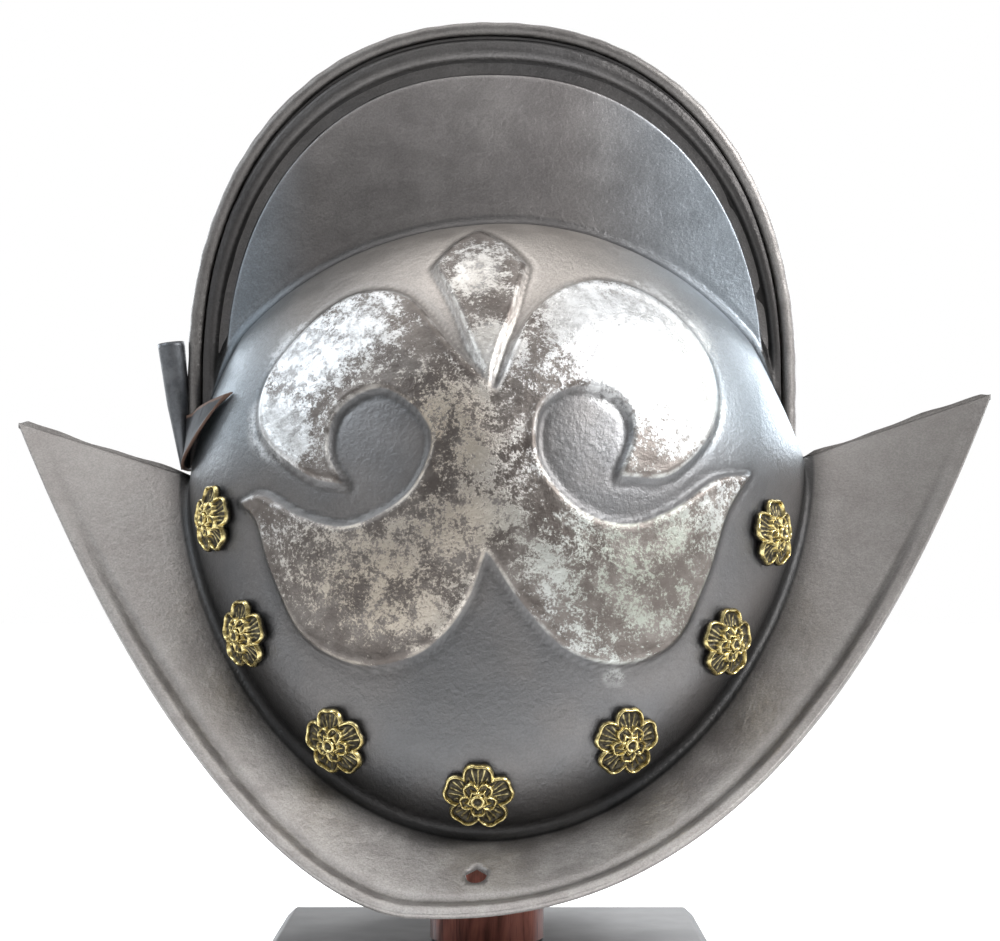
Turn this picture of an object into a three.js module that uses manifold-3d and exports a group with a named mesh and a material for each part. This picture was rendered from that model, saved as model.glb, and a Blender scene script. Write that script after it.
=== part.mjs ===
// Comb morion helmet on a plain stand.
//
// Two mirrored steel halves, each with half of the bowl, half of the tall comb and half of the
// peaked brim, meet in the centre plane. The left half's comb edge is turned over in a round roll.
// Seven brass rosettes a side, each held by a rivet, ring the bowl above the brim. A plume holder
// of sheet sits at the back of the comb.
//
// Millimetres. +Z is up, +X is the helmet's front, +Y its left. The origin is the point under the
// middle of the whole thing, on the surface that the stand rests on.

import * as THREE from 'three';
import { mergeVertices } from 'three/addons/utils/BufferGeometryUtils.js';
import Module from 'manifold-3d';

const wasm = await Module();
wasm.setup();

// ---------------------------------------------------------------- driving dimensions

const GAP = 0.3; // clearance between pieces that touch
const SHEET = 1.2; // thickness of the skull's plate
const DEG = Math.PI / 180;

const BOWL = {
  centreX: -2.8,
  halfLength: 110,
  halfWidth: 95, // at its widest
  baseHalfWidth: 80, // at the brim
  tuckPower: 5, // above 1 keeps the walls upright until just above the brim
  top: 275.5,
  notch: 189, // mean height of the notches, where bowl, comb and brim meet
  lean: 3.5, // the front notch is higher and the back one lower by this
  widestDrop: 40, // widest level below the notches at mid-length
  baseDrop: 123, // brim junction below the notches at mid-length
  dropPower: 1.25,
  frontPower: 1.33, // above 1 flattens the front slope of the crown
  nosePinch: 3, // the crown draws in beside the comb roll
  noseAngle: 35 * DEG,
};

const COMB = {
  centreX: -4.1,
  centreZ: 221.7,
  halfLength: 109.2,
  height: 128.5,
  power: 2.2,
  edgeHalfWidth: 2.6,
  edgeShare: 0.4, // the edge is never wider than this share of the root
  rootHalfWidth: 6,
  rootShare: 0.5, // the root is never wider than this share of the bowl
  filletShare: 0.9, // half-width where the fillet at the root starts, as a share of the root's
  bandTaper: 0.15, // how much the wall widens from one band to the next, as a share
  fullBandWidth: 22, // bands shrink where the comb is narrower than this
};

// Bands along the comb: distance in from the plate's edge, and how far each stands proud.
const COMB_BANDS = [
  [0, 0],
  [6.2, 0.9],
  [12.8, -0.7],
  [14.6, 0.3],
];

const ROLL_RADIUS = 2.75;
const RIGHT_EDGE_INSET = 2 * ROLL_RADIUS + GAP; // the right half stops short of the roll
const LEFT_EDGE_INSET = 1.6 * ROLL_RADIUS; // the left half runs up into the roll
const ROLL_STRAIGHT = [194, 203, 213]; // heights of the roll's straight front end

const BRIM = {
  tipX: 175.2,
  halfWidth: 118,
  lowX: -30.5,
  lowZ: 44,
  frontTipZ: 215.4,
  backTipZ: 205.1,
  frontPower: 2.41,
  backPower: 1.69,
  fanPower: 1.35, // how the rim's points spread along its length
};

// Rolled border of the brim: distance in from the rim, how far it stands proud, and thickness.
const BRIM_BORDER = [
  [8, -0.3, SHEET],
  [6, 0.7, 2.4],
  [3, 1.1, 2.8],
  [0, 0, 2.2],
];

const FILLET = 4.5; // where comb and brim run into the bowl
const FILLET_ROUNDING = 0.35; // place of the fillet's middle point at the comb's root
const FILLET_MOST = { comb: 1 / 3, tilt: 0.3, brim: 0.4 }; // where a wall is too short for it
const SEAM_MARGIN = 0.05; // points off the seam stay at least this far from it
const LOWER_ROWS = [0.4, 0.7, 0.86]; // rows of the lower bowl, as shares of its depth
const BRIM_MIDDLE = 0.42; // row between the fillet and the brim's border
const COLUMN_STEP = 5 * DEG;

const LACE_HOLE = { angle: 93.5 * DEG, reach: 0.52, radius: 3.5 };
const DRILL_LENGTH = 16;

// Rosettes of one side, front to back: angle round the bowl, and height above the brim junction.
const ROSETTE_PLACES = [
  [33, 30],
  [47, 20],
  [68, 18.5],
  [93, 14],
  [118, 14.5],
  [139, 17],
  [150, 35],
];
const ROSETTE = {
  petals: 5,
  radius: 11.9,
  valley: 9.8,
  eyeRadius: 5.8,
  eyeDrop: 0.9, // the eye's rim below the crown
  crown: 4.4,
  lift: 1,
  sheet: 1,
};
const RIVET = {
  shankRadius: 1.1,
  headRadius: 2.4,
  headHeight: 1.6,
  cupRadius: 1.32, // the head is hollow like a shallow cup
  cupDepth: 0.88,
  peenRadius: 2.3,
  peenHeight: 1,
  peenEdge: 0.6, // height of the peen's straight edge
};
const RIVET_HOLE = RIVET.shankRadius + GAP;

const PLUME = {
  mouth: { x: -120.3, z: 233.9, radius: 4.85 },
  neck: { x: -117.4, z: 211, radius: 4.1 },
  point: { x: -115.4, z: 188.2, radius: 1.2 },
  wall: 0.9,
  boreBottom: 209,
  plateHalfWidth: 42,
  plateSheet: 1,
  plateStandOff: 1.3,
  plateTop: 207.5,
  plateTopRise: 5.5,
  plateTopPower: 1.5,
  plateBottom: 187.6,
  plateBottomRise: 24.5,
  plateBottomPower: 3.2,
  ridgeX: -114.9, // outside of the fold over the comb roll
  ridgeHalfWidth: 6,
};

const STAND = {
  centreX: -5.5,
  length: 160,
  width: 168,
  height: 20,
  bevel: 4,
  postX: -6.4,
  postRadius: 20.4,
  padRadius: 33,
  padBase: 238,
  padRim: 252,
  padRimHeight: 4,
  padTop: 273.3,
};

// ---------------------------------------------------------------- the skull's outer form

// Angle a runs round a half from the front notch (0) to the back notch (PI).

const notchHeight = (a) => BOWL.notch + BOWL.lean * Math.cos(a);
const bowlX = (a) => BOWL.centreX + BOWL.halfLength * Math.cos(a);
const drop = (a) => Math.pow(Math.max(0, Math.sin(a)), BOWL.dropPower);
const widestHeight = (a) => notchHeight(a) - BOWL.widestDrop * drop(a);

function crownHeight(a) {
  const power = a < Math.PI / 2 ? BOWL.frontPower : 1;
  return notchHeight(a) + (BOWL.top - BOWL.notch) * Math.pow(Math.max(0, Math.sin(a)), power);
}

function nosePinch(a) {
  const fromNotch = Math.min(a, Math.PI - a);
  if (fromNotch > BOWL.noseAngle) return 0;
  return Math.sign(Math.cos(a)) * BOWL.nosePinch * Math.sin((Math.PI * fromNotch) / BOWL.noseAngle);
}

// Half-width of the comb's root: it dies out towards the notches.
const rootHalfWidth = (a) => Math.min(COMB.rootHalfWidth, COMB.rootShare * BOWL.halfWidth * Math.sin(a));

// Upper bowl: tilt 0 is the crown at the comb's root, PI/2 the widest level.
function upperBowl(a, tilt) {
  const root = rootHalfWidth(a);
  const widest = widestHeight(a);
  const x = bowlX(a) - nosePinch(a) * Math.cos(tilt);
  const y = root + (BOWL.halfWidth * Math.sin(a) - root) * Math.sin(tilt);
  return new THREE.Vector3(x, y, widest + (crownHeight(a) - widest) * Math.cos(tilt));
}

// Lower bowl: t 0 is the widest level, 1 the brim junction.
function lowerBowl(a, t) {
  const tuck = (BOWL.halfWidth - BOWL.baseHalfWidth) * Math.pow(Math.max(0, t), BOWL.tuckPower);
  const y = (BOWL.halfWidth - tuck) * Math.sin(a);
  const base = notchHeight(a) - BOWL.baseDrop * drop(a);
  return new THREE.Vector3(bowlX(a), y, THREE.MathUtils.lerp(widestHeight(a), base, t));
}

function rimHeight(x) {
  const front = x > BRIM.lowX;
  const tip = front ? BRIM.frontTipZ : BRIM.backTipZ;
  const run = front ? BRIM.tipX - BRIM.lowX : BRIM.tipX + BRIM.lowX;
  const power = front ? BRIM.frontPower : BRIM.backPower;
  return BRIM.lowZ + (tip - BRIM.lowZ) * Math.pow(Math.abs(x - BRIM.lowX) / run, power);
}

function rimPoint(a) {
  const fromTip = 1 - Math.abs(1 - a / (Math.PI / 2));
  const x = Math.sign(Math.PI / 2 - a) * BRIM.tipX * (1 - Math.pow(fromTip, BRIM.fanPower));
  return new THREE.Vector3(x, BRIM.halfWidth * (1 - (x / BRIM.tipX) ** 2), rimHeight(x));
}

// Distance from the comb's centre to its outline, along a unit direction, inset by some amount.
function combReach(dx, dz, inset) {
  const halfLength = COMB.halfLength - inset;
  const height = COMB.height - inset;
  if (dz < 0) return halfLength / Math.abs(dx);
  const sum = Math.pow(Math.abs(dx) / halfLength, COMB.power) + Math.pow(dz / height, COMB.power);
  return Math.pow(sum, -1 / COMB.power);
}

// ---------------------------------------------------------------- sections of one half

// A cell is a point of the smooth outer form, with the height of its relief and its thickness.
const cell = (point, relief = 0, thickness = SHEET) => ({ point, relief, thickness });

// The comb's wall, from the seam at its edge down to the fillet at its root.
function combCells(a, edgeInset) {
  const root = upperBowl(a, 0);
  const ray = new THREE.Vector2(root.x - COMB.centreX, root.z - COMB.centreZ);
  const rootReach = ray.length();
  ray.normalize();
  const width = Math.max(0, combReach(ray.x, ray.y, edgeInset) - rootReach);
  const squeeze = Math.min(1, width / COMB.fullBandWidth);
  const edgeHalfWidth = Math.min(COMB.edgeHalfWidth, COMB.edgeShare * root.y);
  const at = (inset, y) => {
    const reach = rootReach + Math.max(0, width - inset);
    return new THREE.Vector3(COMB.centreX + ray.x * reach, y, COMB.centreZ + ray.y * reach);
  };
  const cells = [cell(at(0, 0))];
  COMB_BANDS.forEach(([inset, relief], k) => {
    const y = THREE.MathUtils.lerp(edgeHalfWidth, root.y, COMB.bandTaper * k);
    cells.push(cell(at(inset * squeeze, y), relief * squeeze));
  });
  const filletReach = Math.min(FILLET, width * FILLET_MOST.comb);
  return [...cells, cell(at(width - filletReach, root.y * COMB.filletShare))];
}

function bowlCells(a) {
  const root = upperBowl(a, 0);
  const firstTilt = Math.min(FILLET_MOST.tilt, FILLET / (BOWL.halfWidth * Math.sin(a)));
  const cells = [cell(root.clone().lerp(upperBowl(a, firstTilt), FILLET_ROUNDING))];
  const tilts = 5;
  for (let k = 0; k <= tilts; k += 1) {
    cells.push(cell(upperBowl(a, THREE.MathUtils.lerp(firstTilt, Math.PI / 2, k / tilts))));
  }
  return cells;
}

// The lower bowl, the fillet at the brim, and the brim out to its border.
function brimCells(a) {
  const junction = lowerBowl(a, 1);
  const rim = rimPoint(a);
  const depth = widestHeight(a) - junction.z;
  const reach = junction.distanceTo(rim);
  const fillet = Math.min(FILLET, FILLET_MOST.brim * depth);
  const above = lowerBowl(a, 1 - fillet / depth);
  const beyond = junction.clone().lerp(rim, FILLET / reach);
  const middle = above.clone().lerp(beyond, 0.5).lerp(junction, 0.5);
  const cells = [
    ...LOWER_ROWS.map((share) => cell(lowerBowl(a, share * (1 - fillet / depth)))),
    cell(above),
    cell(middle),
    cell(beyond),
    cell(beyond.clone().lerp(rim, BRIM_MIDDLE)),
  ];
  BRIM_BORDER.forEach(([inset, relief, thickness]) => {
    cells.push(cell(rim.clone().lerp(junction, inset / reach), relief, thickness));
  });
  return cells;
}

function notchCells(a, count) {
  const pole = lowerBowl(a, 1);
  const brim = brimCells(a).slice(4);
  const repeated = Array.from({ length: count - brim.length }, () => cell(pole.clone()));
  return [...repeated, ...brim];
}

// All sections of one half, front to back. The first and last are the ridges of the two peaks.
function halfSections(edgeInset) {
  const steps = Math.round(Math.PI / COLUMN_STEP);
  const sections = [];
  for (let k = 1; k < steps; k += 1) {
    const a = (k * Math.PI) / steps;
    sections.push([...combCells(a, edgeInset), ...bowlCells(a), ...brimCells(a)]);
  }
  const count = sections[0].length;
  return [notchCells(1e-6, count), ...sections, notchCells(Math.PI - 1e-6, count)];
}

// ---------------------------------------------------------------- solids from meshes

function solidFromGeometry(geometry) {
  const bare = geometry.clone();
  bare.deleteAttribute('normal');
  bare.deleteAttribute('uv');
  const merged = mergeVertices(bare, 1e-4);
  const kept = [];
  const index = merged.getIndex().array;
  for (let k = 0; k < index.length; k += 3) {
    const [p, q, r] = [index[k], index[k + 1], index[k + 2]];
    if (p !== q && q !== r && r !== p) kept.push(p, q, r);
  }
  return new wasm.Manifold(
    new wasm.Mesh({
      numProp: 3,
      vertProperties: new Float32Array(merged.getAttribute('position').array),
      triVerts: new Uint32Array(kept),
    }),
  );
}

function geometryFromSolid(solid) {
  const mesh = solid.getMesh();
  const geometry = new THREE.BufferGeometry();
  geometry.setAttribute('position', new THREE.Float32BufferAttribute(mesh.vertProperties, 3));
  geometry.setIndex(Array.from(mesh.triVerts));
  return geometry;
}

function meshGeometry(points, triangles) {
  const geometry = new THREE.BufferGeometry();
  const numbers = points.flatMap((p) => [p.x, p.y, p.z]);
  geometry.setAttribute('position', new THREE.Float32BufferAttribute(numbers, 3));
  geometry.setIndex(triangles.flat());
  return geometry;
}

// A closed solid through rings with the same number of points, seen anticlockwise from the end.
function loft(rings) {
  const count = rings[0].length;
  const points = rings.flat();
  const triangles = [];
  for (let i = 0; i + 1 < rings.length; i += 1) {
    for (let j = 0; j < count; j += 1) {
      const [a, b] = [i * count + j, i * count + ((j + 1) % count)];
      triangles.push([a, b, b + count], [a, b + count, a + count]);
    }
  }
  const cap = (ring, start, flip) => {
    const middle = ring.reduce((sum, p) => sum.add(p), new THREE.Vector3()).divideScalar(count);
    points.push(middle);
    for (let j = 0; j < count; j += 1) {
      const [a, b] = [start + j, start + ((j + 1) % count)];
      triangles.push(flip ? [b, a, points.length - 1] : [a, b, points.length - 1]);
    }
  };
  cap(rings[0], 0, true);
  cap(rings[rings.length - 1], (rings.length - 1) * count, false);
  return meshGeometry(points, triangles);
}

// A ring closed on itself: each section is a closed loop, and the last section meets the first.
function closedLoft(sections) {
  const count = sections[0].length;
  const triangles = [];
  sections.forEach((section, i) => {
    const next = ((i + 1) % sections.length) * count;
    for (let j = 0; j < count; j += 1) {
      const k = (j + 1) % count;
      triangles.push([i * count + j, next + j, next + k], [i * count + j, next + k, i * count + k]);
    }
  });
  return meshGeometry(sections.flat(), triangles);
}

// ---------------------------------------------------------------- the skull halves

// Unit normals of the smooth form at its merged points, keyed by place.
function formNormals(sections) {
  const key = (p) => [p.x, p.y, p.z].map((v) => v.toFixed(3)).join();
  const normals = new Map();
  const addFace = (p, q, r) => {
    const face = q.clone().sub(p).cross(r.clone().sub(p));
    [p, q, r].forEach((corner) => {
      const sum = normals.get(key(corner)) ?? new THREE.Vector3();
      normals.set(key(corner), sum.add(face));
    });
  };
  for (let i = 0; i + 1 < sections.length; i += 1) {
    for (let j = 0; j + 1 < sections[i].length; j += 1) {
      const [p, q] = [sections[i][j].point, sections[i + 1][j].point];
      const [r, s] = [sections[i + 1][j + 1].point, sections[i][j + 1].point];
      addFace(p, r, q);
      addFace(p, s, r);
    }
  }
  normals.forEach((normal) => normal.normalize());
  return (p) => normals.get(key(p));
}

// The way from outer to inner face: along the normal, kept in the centre plane at the seam.
function offsetWay(point, normal) {
  if (point.y > 1e-3) return normal;
  const flat = new THREE.Vector3(normal.x, 0, normal.z);
  return flat.divideScalar(Math.max(0.3, flat.lengthSq()));
}

// A closed plate on the +Y side: outer face raised by its relief plus extra, inner face by depth.
function halfPlate(sections, seam, extra, depth) {
  const normalAt = formNormals(sections);
  const outer = [];
  const inner = [];
  sections.flat().forEach(({ point, relief, thickness }) => {
    const way = offsetWay(point, normalAt(point));
    const raised = point.clone().addScaledVector(way, relief + extra);
    const sunk = point.clone().addScaledVector(way, -(depth ?? thickness));
    [raised, sunk].forEach((p) => {
      p.y = point.y > 1e-3 ? Math.max(p.y + seam, seam + SEAM_MARGIN) : seam;
    });
    outer.push(raised);
    inner.push(sunk);
  });
  const rows = sections.length;
  const count = sections[0].length;
  const total = outer.length;
  const triangles = [];
  for (let i = 0; i + 1 < rows; i += 1) {
    for (let j = 0; j + 1 < count; j += 1) {
      const [p, q] = [i * count + j, (i + 1) * count + j];
      const [r, s] = [q + 1, p + 1];
      triangles.push([p, r, q], [p, s, r]);
      triangles.push([p + total, q + total, r + total], [p + total, r + total, s + total]);
    }
  }
  const closeEdge = (p, q) => triangles.push([p, q, p + total], [q, q + total, p + total]);
  for (let i = 0; i + 1 < rows; i += 1) {
    closeEdge(i * count, (i + 1) * count);
    closeEdge((i + 2) * count - 1, (i + 1) * count - 1);
  }
  for (let j = 0; j + 1 < count; j += 1) {
    closeEdge(j + 1, j);
    closeEdge((rows - 1) * count + j, (rows - 1) * count + j + 1);
  }
  return solidFromGeometry(meshGeometry([...outer, ...inner], triangles));
}

const mirrorY = (solid) => solid.mirror([0, 1, 0]);

// Place and outward way of a point of the lower bowl or the brim, on the +Y side.
function formFrame(surface, u, v) {
  const step = 1e-3;
  const du = surface(u + step, v).sub(surface(u - step, v));
  const dv = surface(u, v + step).sub(surface(u, v - step));
  return { point: surface(u, v), normal: dv.cross(du).normalize() };
}

function rosetteFrame([angle, height]) {
  const a = angle * DEG;
  const t = 1 - height / (widestHeight(a) - lowerBowl(a, 1).z);
  return formFrame(lowerBowl, a, t);
}

function laceFrame() {
  const brim = (a, t) => lowerBowl(a, 1).lerp(rimPoint(a), t);
  return formFrame(brim, LACE_HOLE.angle, LACE_HOLE.reach);
}

function drill({ point, normal }, radius, sides) {
  const pin = new THREE.CylinderGeometry(radius, radius, DRILL_LENGTH, sides);
  pin.applyQuaternion(new THREE.Quaternion().setFromUnitVectors(new THREE.Vector3(0, 1, 0), normal));
  pin.translate(point.x, point.y + GAP / 2, point.z);
  return solidFromGeometry(pin);
}

function drilledHalf(edgeInset) {
  let half = halfPlate(halfSections(edgeInset), GAP / 2, 0);
  ROSETTE_PLACES.forEach((place) => {
    half = half.subtract(drill(rosetteFrame(place), RIVET_HOLE, 8));
  });
  return half.subtract(drill(laceFrame(), LACE_HOLE.radius, 16));
}

// The turned edge along the comb, from the front notch over the top to the back notch.
function combRoll(radius) {
  const halfLength = COMB.halfLength - ROLL_RADIUS;
  const height = COMB.height - ROLL_RADIUS;
  const path = [];
  ROLL_STRAIGHT.forEach((z) => path.push(new THREE.Vector3(COMB.centreX + halfLength, 0, z)));
  const steps = 44;
  for (let k = 0; k <= steps; k += 1) {
    const a = (k * Math.PI) / steps;
    const x = Math.sign(Math.cos(a)) * halfLength * Math.pow(Math.abs(Math.cos(a)), 2 / COMB.power);
    const z = height * Math.pow(Math.abs(Math.sin(a)), 2 / COMB.power);
    path.push(new THREE.Vector3(COMB.centreX + x, 0, COMB.centreZ + z));
  }
  [...ROLL_STRAIGHT].reverse().forEach((z) => {
    path.push(new THREE.Vector3(COMB.centreX - halfLength, 0, z - 2 * BOWL.lean));
  });
  const sides = 10;
  const rings = path.map((centre, k) => {
    const before = path[Math.max(0, k - 1)];
    const after = path[Math.min(path.length - 1, k + 1)];
    const along = after.clone().sub(before).normalize();
    const out = new THREE.Vector3(along.z, 0, -along.x);
    return Array.from({ length: sides }, (_, j) => {
      const turn = (2 * Math.PI * j) / sides;
      const point = centre.clone().addScaledVector(out, radius * Math.cos(turn));
      point.y += radius * Math.sin(turn);
      return point;
    });
  });
  return solidFromGeometry(loft(rings));
}

function skullRight() {
  return mirrorY(drilledHalf(RIGHT_EDGE_INSET));
}

// The left half with the turned edge, kept clear of the right half.
function skullLeft() {
  const clearance = mirrorY(halfPlate(halfSections(RIGHT_EDGE_INSET), -GAP / 2, GAP, 2 * COMB.rootHalfWidth));
  return drilledHalf(LEFT_EDGE_INSET).add(combRoll(ROLL_RADIUS).subtract(clearance));
}

// ---------------------------------------------------------------- rosettes and their rivets

// A five-petalled stamping, its eye raised on a low cone, with a hole for the rivet.
function rosetteGeometry() {
  const count = ROSETTE.petals * 5;
  const ring = (radiusAt, z) =>
    Array.from({ length: count }, (_, j) => {
      const turn = (2 * Math.PI * j) / count;
      const radius = radiusAt(turn);
      return new THREE.Vector3(radius * Math.sin(turn), radius * Math.cos(turn), z);
    });
  const petals = (turn) => {
    const wave = Math.sqrt(Math.abs(Math.cos((ROSETTE.petals * turn) / 2)));
    return THREE.MathUtils.lerp(ROSETTE.valley, ROSETTE.radius, wave);
  };
  const eye = () => ROSETTE.eyeRadius;
  const hole = () => RIVET_HOLE;
  const edge = ROSETTE.lift + ROSETTE.sheet;
  const loops = [
    ring(hole, ROSETTE.crown),
    ring(eye, ROSETTE.crown - ROSETTE.eyeDrop),
    ring(petals, edge),
    ring(petals, ROSETTE.lift),
    ring(hole, ROSETTE.crown - ROSETTE.sheet),
  ];
  const sections = loops[0].map((_, j) => loops.map((loop) => loop[j]));
  return closedLoft(sections);
}

// Shank from the peened end inside the skull to the cupped head on the rosette.
function rivetGeometry() {
  const inside = -SHEET - 3 * GAP;
  const seat = ROSETTE.crown + GAP;
  const outline = [
    [0, inside - RIVET.peenHeight],
    [RIVET.peenRadius, inside - RIVET.peenEdge],
    [RIVET.peenRadius, inside],
    [RIVET.shankRadius, inside],
    [RIVET.shankRadius, seat],
    [RIVET.headRadius, seat],
    [RIVET.headRadius, seat + RIVET.headHeight],
    [RIVET.cupRadius, seat + RIVET.headHeight],
    [0, seat + RIVET.headHeight - RIVET.cupDepth],
  ];
  const geometry = new THREE.LatheGeometry(outline.map(([x, y]) => new THREE.Vector2(x, y)), 8);
  return geometry.rotateX(Math.PI / 2);
}

// Turn a piece made on +Z, with +Y as its top, to stand on the bowl.
function placeOnBowl(mesh, place, side) {
  const { point, normal } = rosetteFrame(place);
  point.y = side * (point.y + GAP / 2);
  normal.y *= side;
  const across = new THREE.Vector3(0, 0, 1).cross(normal).normalize();
  const up = normal.clone().cross(across);
  mesh.quaternion.setFromRotationMatrix(new THREE.Matrix4().makeBasis(across, up, normal));
  mesh.position.copy(point);
}

// ---------------------------------------------------------------- plume holder

// X of the bowl's back at a lateral place y and a height z, found by halving.
function bowlBackX(y, z) {
  let [low, high] = [0.01, Math.PI / 2];
  for (let k = 0; k < 40; k += 1) {
    const middle = (low + high) / 2;
    const a = Math.PI - middle;
    const rise = (z - widestHeight(a)) / (crownHeight(a) - widestHeight(a));
    const inside = (y / (BOWL.halfWidth * Math.sin(a))) ** 2 + rise * rise < 1;
    if (inside) high = middle;
    else low = middle;
  }
  return bowlX(Math.PI - low);
}

// The shield-shaped plate that wraps the back of the bowl and folds over the comb roll.
function plumePlate() {
  const [across, down] = [20, 4];
  const sections = [];
  for (let i = 0; i <= across; i += 1) {
    const share = (2 * i) / across - 1;
    const y = PLUME.plateHalfWidth * share;
    const top = PLUME.plateTop + PLUME.plateTopRise * Math.abs(share) ** PLUME.plateTopPower;
    const bottom = PLUME.plateBottom + PLUME.plateBottomRise * Math.abs(share) ** PLUME.plateBottomPower;
    const fold = Math.exp(-((y / PLUME.ridgeHalfWidth) ** 2));
    const column = Array.from({ length: down + 1 }, (_, j) => {
      const z = THREE.MathUtils.lerp(top, bottom, j / down);
      const outside = bowlBackX(y, z) - PLUME.plateStandOff - PLUME.plateSheet - GAP;
      return new THREE.Vector3(THREE.MathUtils.lerp(outside, PLUME.ridgeX, fold), y, z);
    });
    const back = column.map((p) => p.clone().setX(p.x + PLUME.plateSheet)).reverse();
    sections.push([...column, ...back]);
  }
  return solidFromGeometry(loft(sections.map((section) => section.reverse())));
}

function plumeCone(stations, inset) {
  const sides = 16;
  const rings = stations.map(({ x, z, radius }) =>
    Array.from({ length: sides }, (_, j) => {
      const turn = (2 * Math.PI * j) / sides;
      const r = radius - inset;
      return new THREE.Vector3(x + r * Math.cos(turn), r * Math.sin(turn), z);
    }),
  );
  return solidFromGeometry(loft(rings));
}

function plumeHolder() {
  const { point, neck, mouth } = PLUME;
  const share = (PLUME.boreBottom - point.z) / (neck.z - point.z);
  const floor = {
    x: THREE.MathUtils.lerp(point.x, neck.x, share),
    z: PLUME.boreBottom,
    radius: THREE.MathUtils.lerp(point.radius, neck.radius, share),
  };
  const above = { ...mouth, z: mouth.z + 1 };
  const socket = plumeCone([point, neck, mouth], 0);
  const bore = plumeCone([floor, neck, above], PLUME.wall);
  return plumePlate().add(socket).subtract(bore).subtract(combRoll(ROLL_RADIUS + GAP));
}

// ---------------------------------------------------------------- stand

function standBase() {
  const rectangle = (inset, z) => {
    const x = STAND.length / 2 - inset;
    const y = STAND.width / 2 - inset;
    return [
      new THREE.Vector3(STAND.centreX + x, -y, z),
      new THREE.Vector3(STAND.centreX + x, y, z),
      new THREE.Vector3(STAND.centreX - x, y, z),
      new THREE.Vector3(STAND.centreX - x, -y, z),
    ];
  };
  const shoulder = rectangle(0, STAND.height - STAND.bevel);
  return loft([rectangle(0, 0), shoulder, rectangle(STAND.bevel, STAND.height)]);
}

// A turned post whose domed head carries the crown of the helmet.
function standPost() {
  const dome = STAND.padTop - STAND.padRim;
  const outline = [
    new THREE.Vector2(0, STAND.height + GAP),
    new THREE.Vector2(STAND.postRadius, STAND.height + GAP),
    new THREE.Vector2(STAND.postRadius, STAND.padBase),
    new THREE.Vector2(STAND.padRadius, STAND.padRim - STAND.padRimHeight),
  ];
  const steps = 5;
  for (let k = 0; k <= steps; k += 1) {
    const turn = (k / steps) * (Math.PI / 2);
    const radius = k === steps ? 0 : STAND.padRadius * Math.cos(turn);
    outline.push(new THREE.Vector2(radius, STAND.padRim + dome * Math.sin(turn)));
  }
  const geometry = new THREE.LatheGeometry(outline, 28);
  return geometry.rotateX(Math.PI / 2).translate(STAND.postX, 0, 0);
}

// ---------------------------------------------------------------- materials and assembly

const finish = (color, roughness, metalness) =>
  new THREE.MeshStandardMaterial({ color, roughness, metalness });

const STEEL = finish(0x6a6664, 0.5, 0.9);
const BRASS = finish(0xa8893c, 0.35, 1);
const PLUME_STEEL = finish(0x5f6468, 0.45, 0.9);
const BASE_BLACK = finish(0x4a4c4f, 0.4, 0);
const POST_WOOD = finish(0x4a2018, 0.25, 0);

function named(name, geometry, material) {
  const mesh = new THREE.Mesh(geometry, material);
  mesh.name = name;
  return mesh;
}

function rosettes(side, sideName) {
  return ROSETTE_PLACES.flatMap((place, k) => {
    const rosette = named(`rosette_${sideName}_${k + 1}`, rosetteGeometry(), BRASS);
    const rivet = named(`rosette_rivet_${sideName}_${k + 1}`, rivetGeometry(), BRASS);
    [rosette, rivet].forEach((mesh) => placeOnBowl(mesh, place, side));
    return [rosette, rivet];
  });
}

const morion = new THREE.Group();
morion.add(named('skull_right', geometryFromSolid(skullRight()), STEEL));
morion.add(named('skull_left', geometryFromSolid(skullLeft()), STEEL));
morion.add(...rosettes(-1, 'right'));
morion.add(...rosettes(1, 'left'));
morion.add(named('plume_holder', geometryFromSolid(plumeHolder()), PLUME_STEEL));
morion.add(named('stand_base', standBase(), BASE_BLACK));
morion.add(named('stand_post', standPost(), POST_WOOD));

export default morion;
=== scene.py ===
"""Comb morion helmet on a plain stand: the finished surfaces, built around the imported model.

Lengths are written in millimetres, as numbers times MM or as plain millimetres in the helmet's
formulas, and turned into metres when a mesh is made. +X is the helmet's front, +Z is up.
"""

import math

import bmesh
import bpy
import numpy as np
from mathutils import Matrix, Vector


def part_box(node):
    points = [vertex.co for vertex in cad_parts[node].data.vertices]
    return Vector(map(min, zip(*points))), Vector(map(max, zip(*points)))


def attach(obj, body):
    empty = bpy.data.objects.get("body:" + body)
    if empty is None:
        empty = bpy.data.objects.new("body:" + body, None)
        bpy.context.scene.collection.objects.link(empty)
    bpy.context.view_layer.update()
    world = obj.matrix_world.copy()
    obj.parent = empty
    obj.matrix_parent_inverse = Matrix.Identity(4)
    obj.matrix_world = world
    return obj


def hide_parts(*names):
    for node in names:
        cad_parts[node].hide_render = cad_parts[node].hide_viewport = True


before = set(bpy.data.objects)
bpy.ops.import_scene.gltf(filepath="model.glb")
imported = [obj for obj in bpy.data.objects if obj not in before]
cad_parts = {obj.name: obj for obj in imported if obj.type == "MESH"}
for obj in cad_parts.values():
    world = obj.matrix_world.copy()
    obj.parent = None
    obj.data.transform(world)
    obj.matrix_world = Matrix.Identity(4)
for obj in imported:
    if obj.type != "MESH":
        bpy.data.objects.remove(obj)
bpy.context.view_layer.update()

MM = 0.001
PI = math.pi
SIDES = (("right", -1), ("left", 1))

# ---------------------------------------------------------------- dimensions, in millimetres

SEAM = 0.15  # each half stops this far from the centre plane
SEAM_MARGIN = 0.05  # points off the seam stay at least this far from it
SHEET = 1.2

BOWL_X, BOWL_HALF_LENGTH, BOWL_HALF_WIDTH, BASE_HALF_WIDTH, TUCK_POWER = -2.8, 110, 95, 80, 5
CROWN, NOTCH, LEAN = 275.5, 189, 3.5
WIDEST_DROP, BASE_DROP, DROP_POWER, FRONT_POWER = 40, 123, 1.25, 1.33
NOSE_PINCH, NOSE_ANGLE = 3, math.radians(35)

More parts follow.
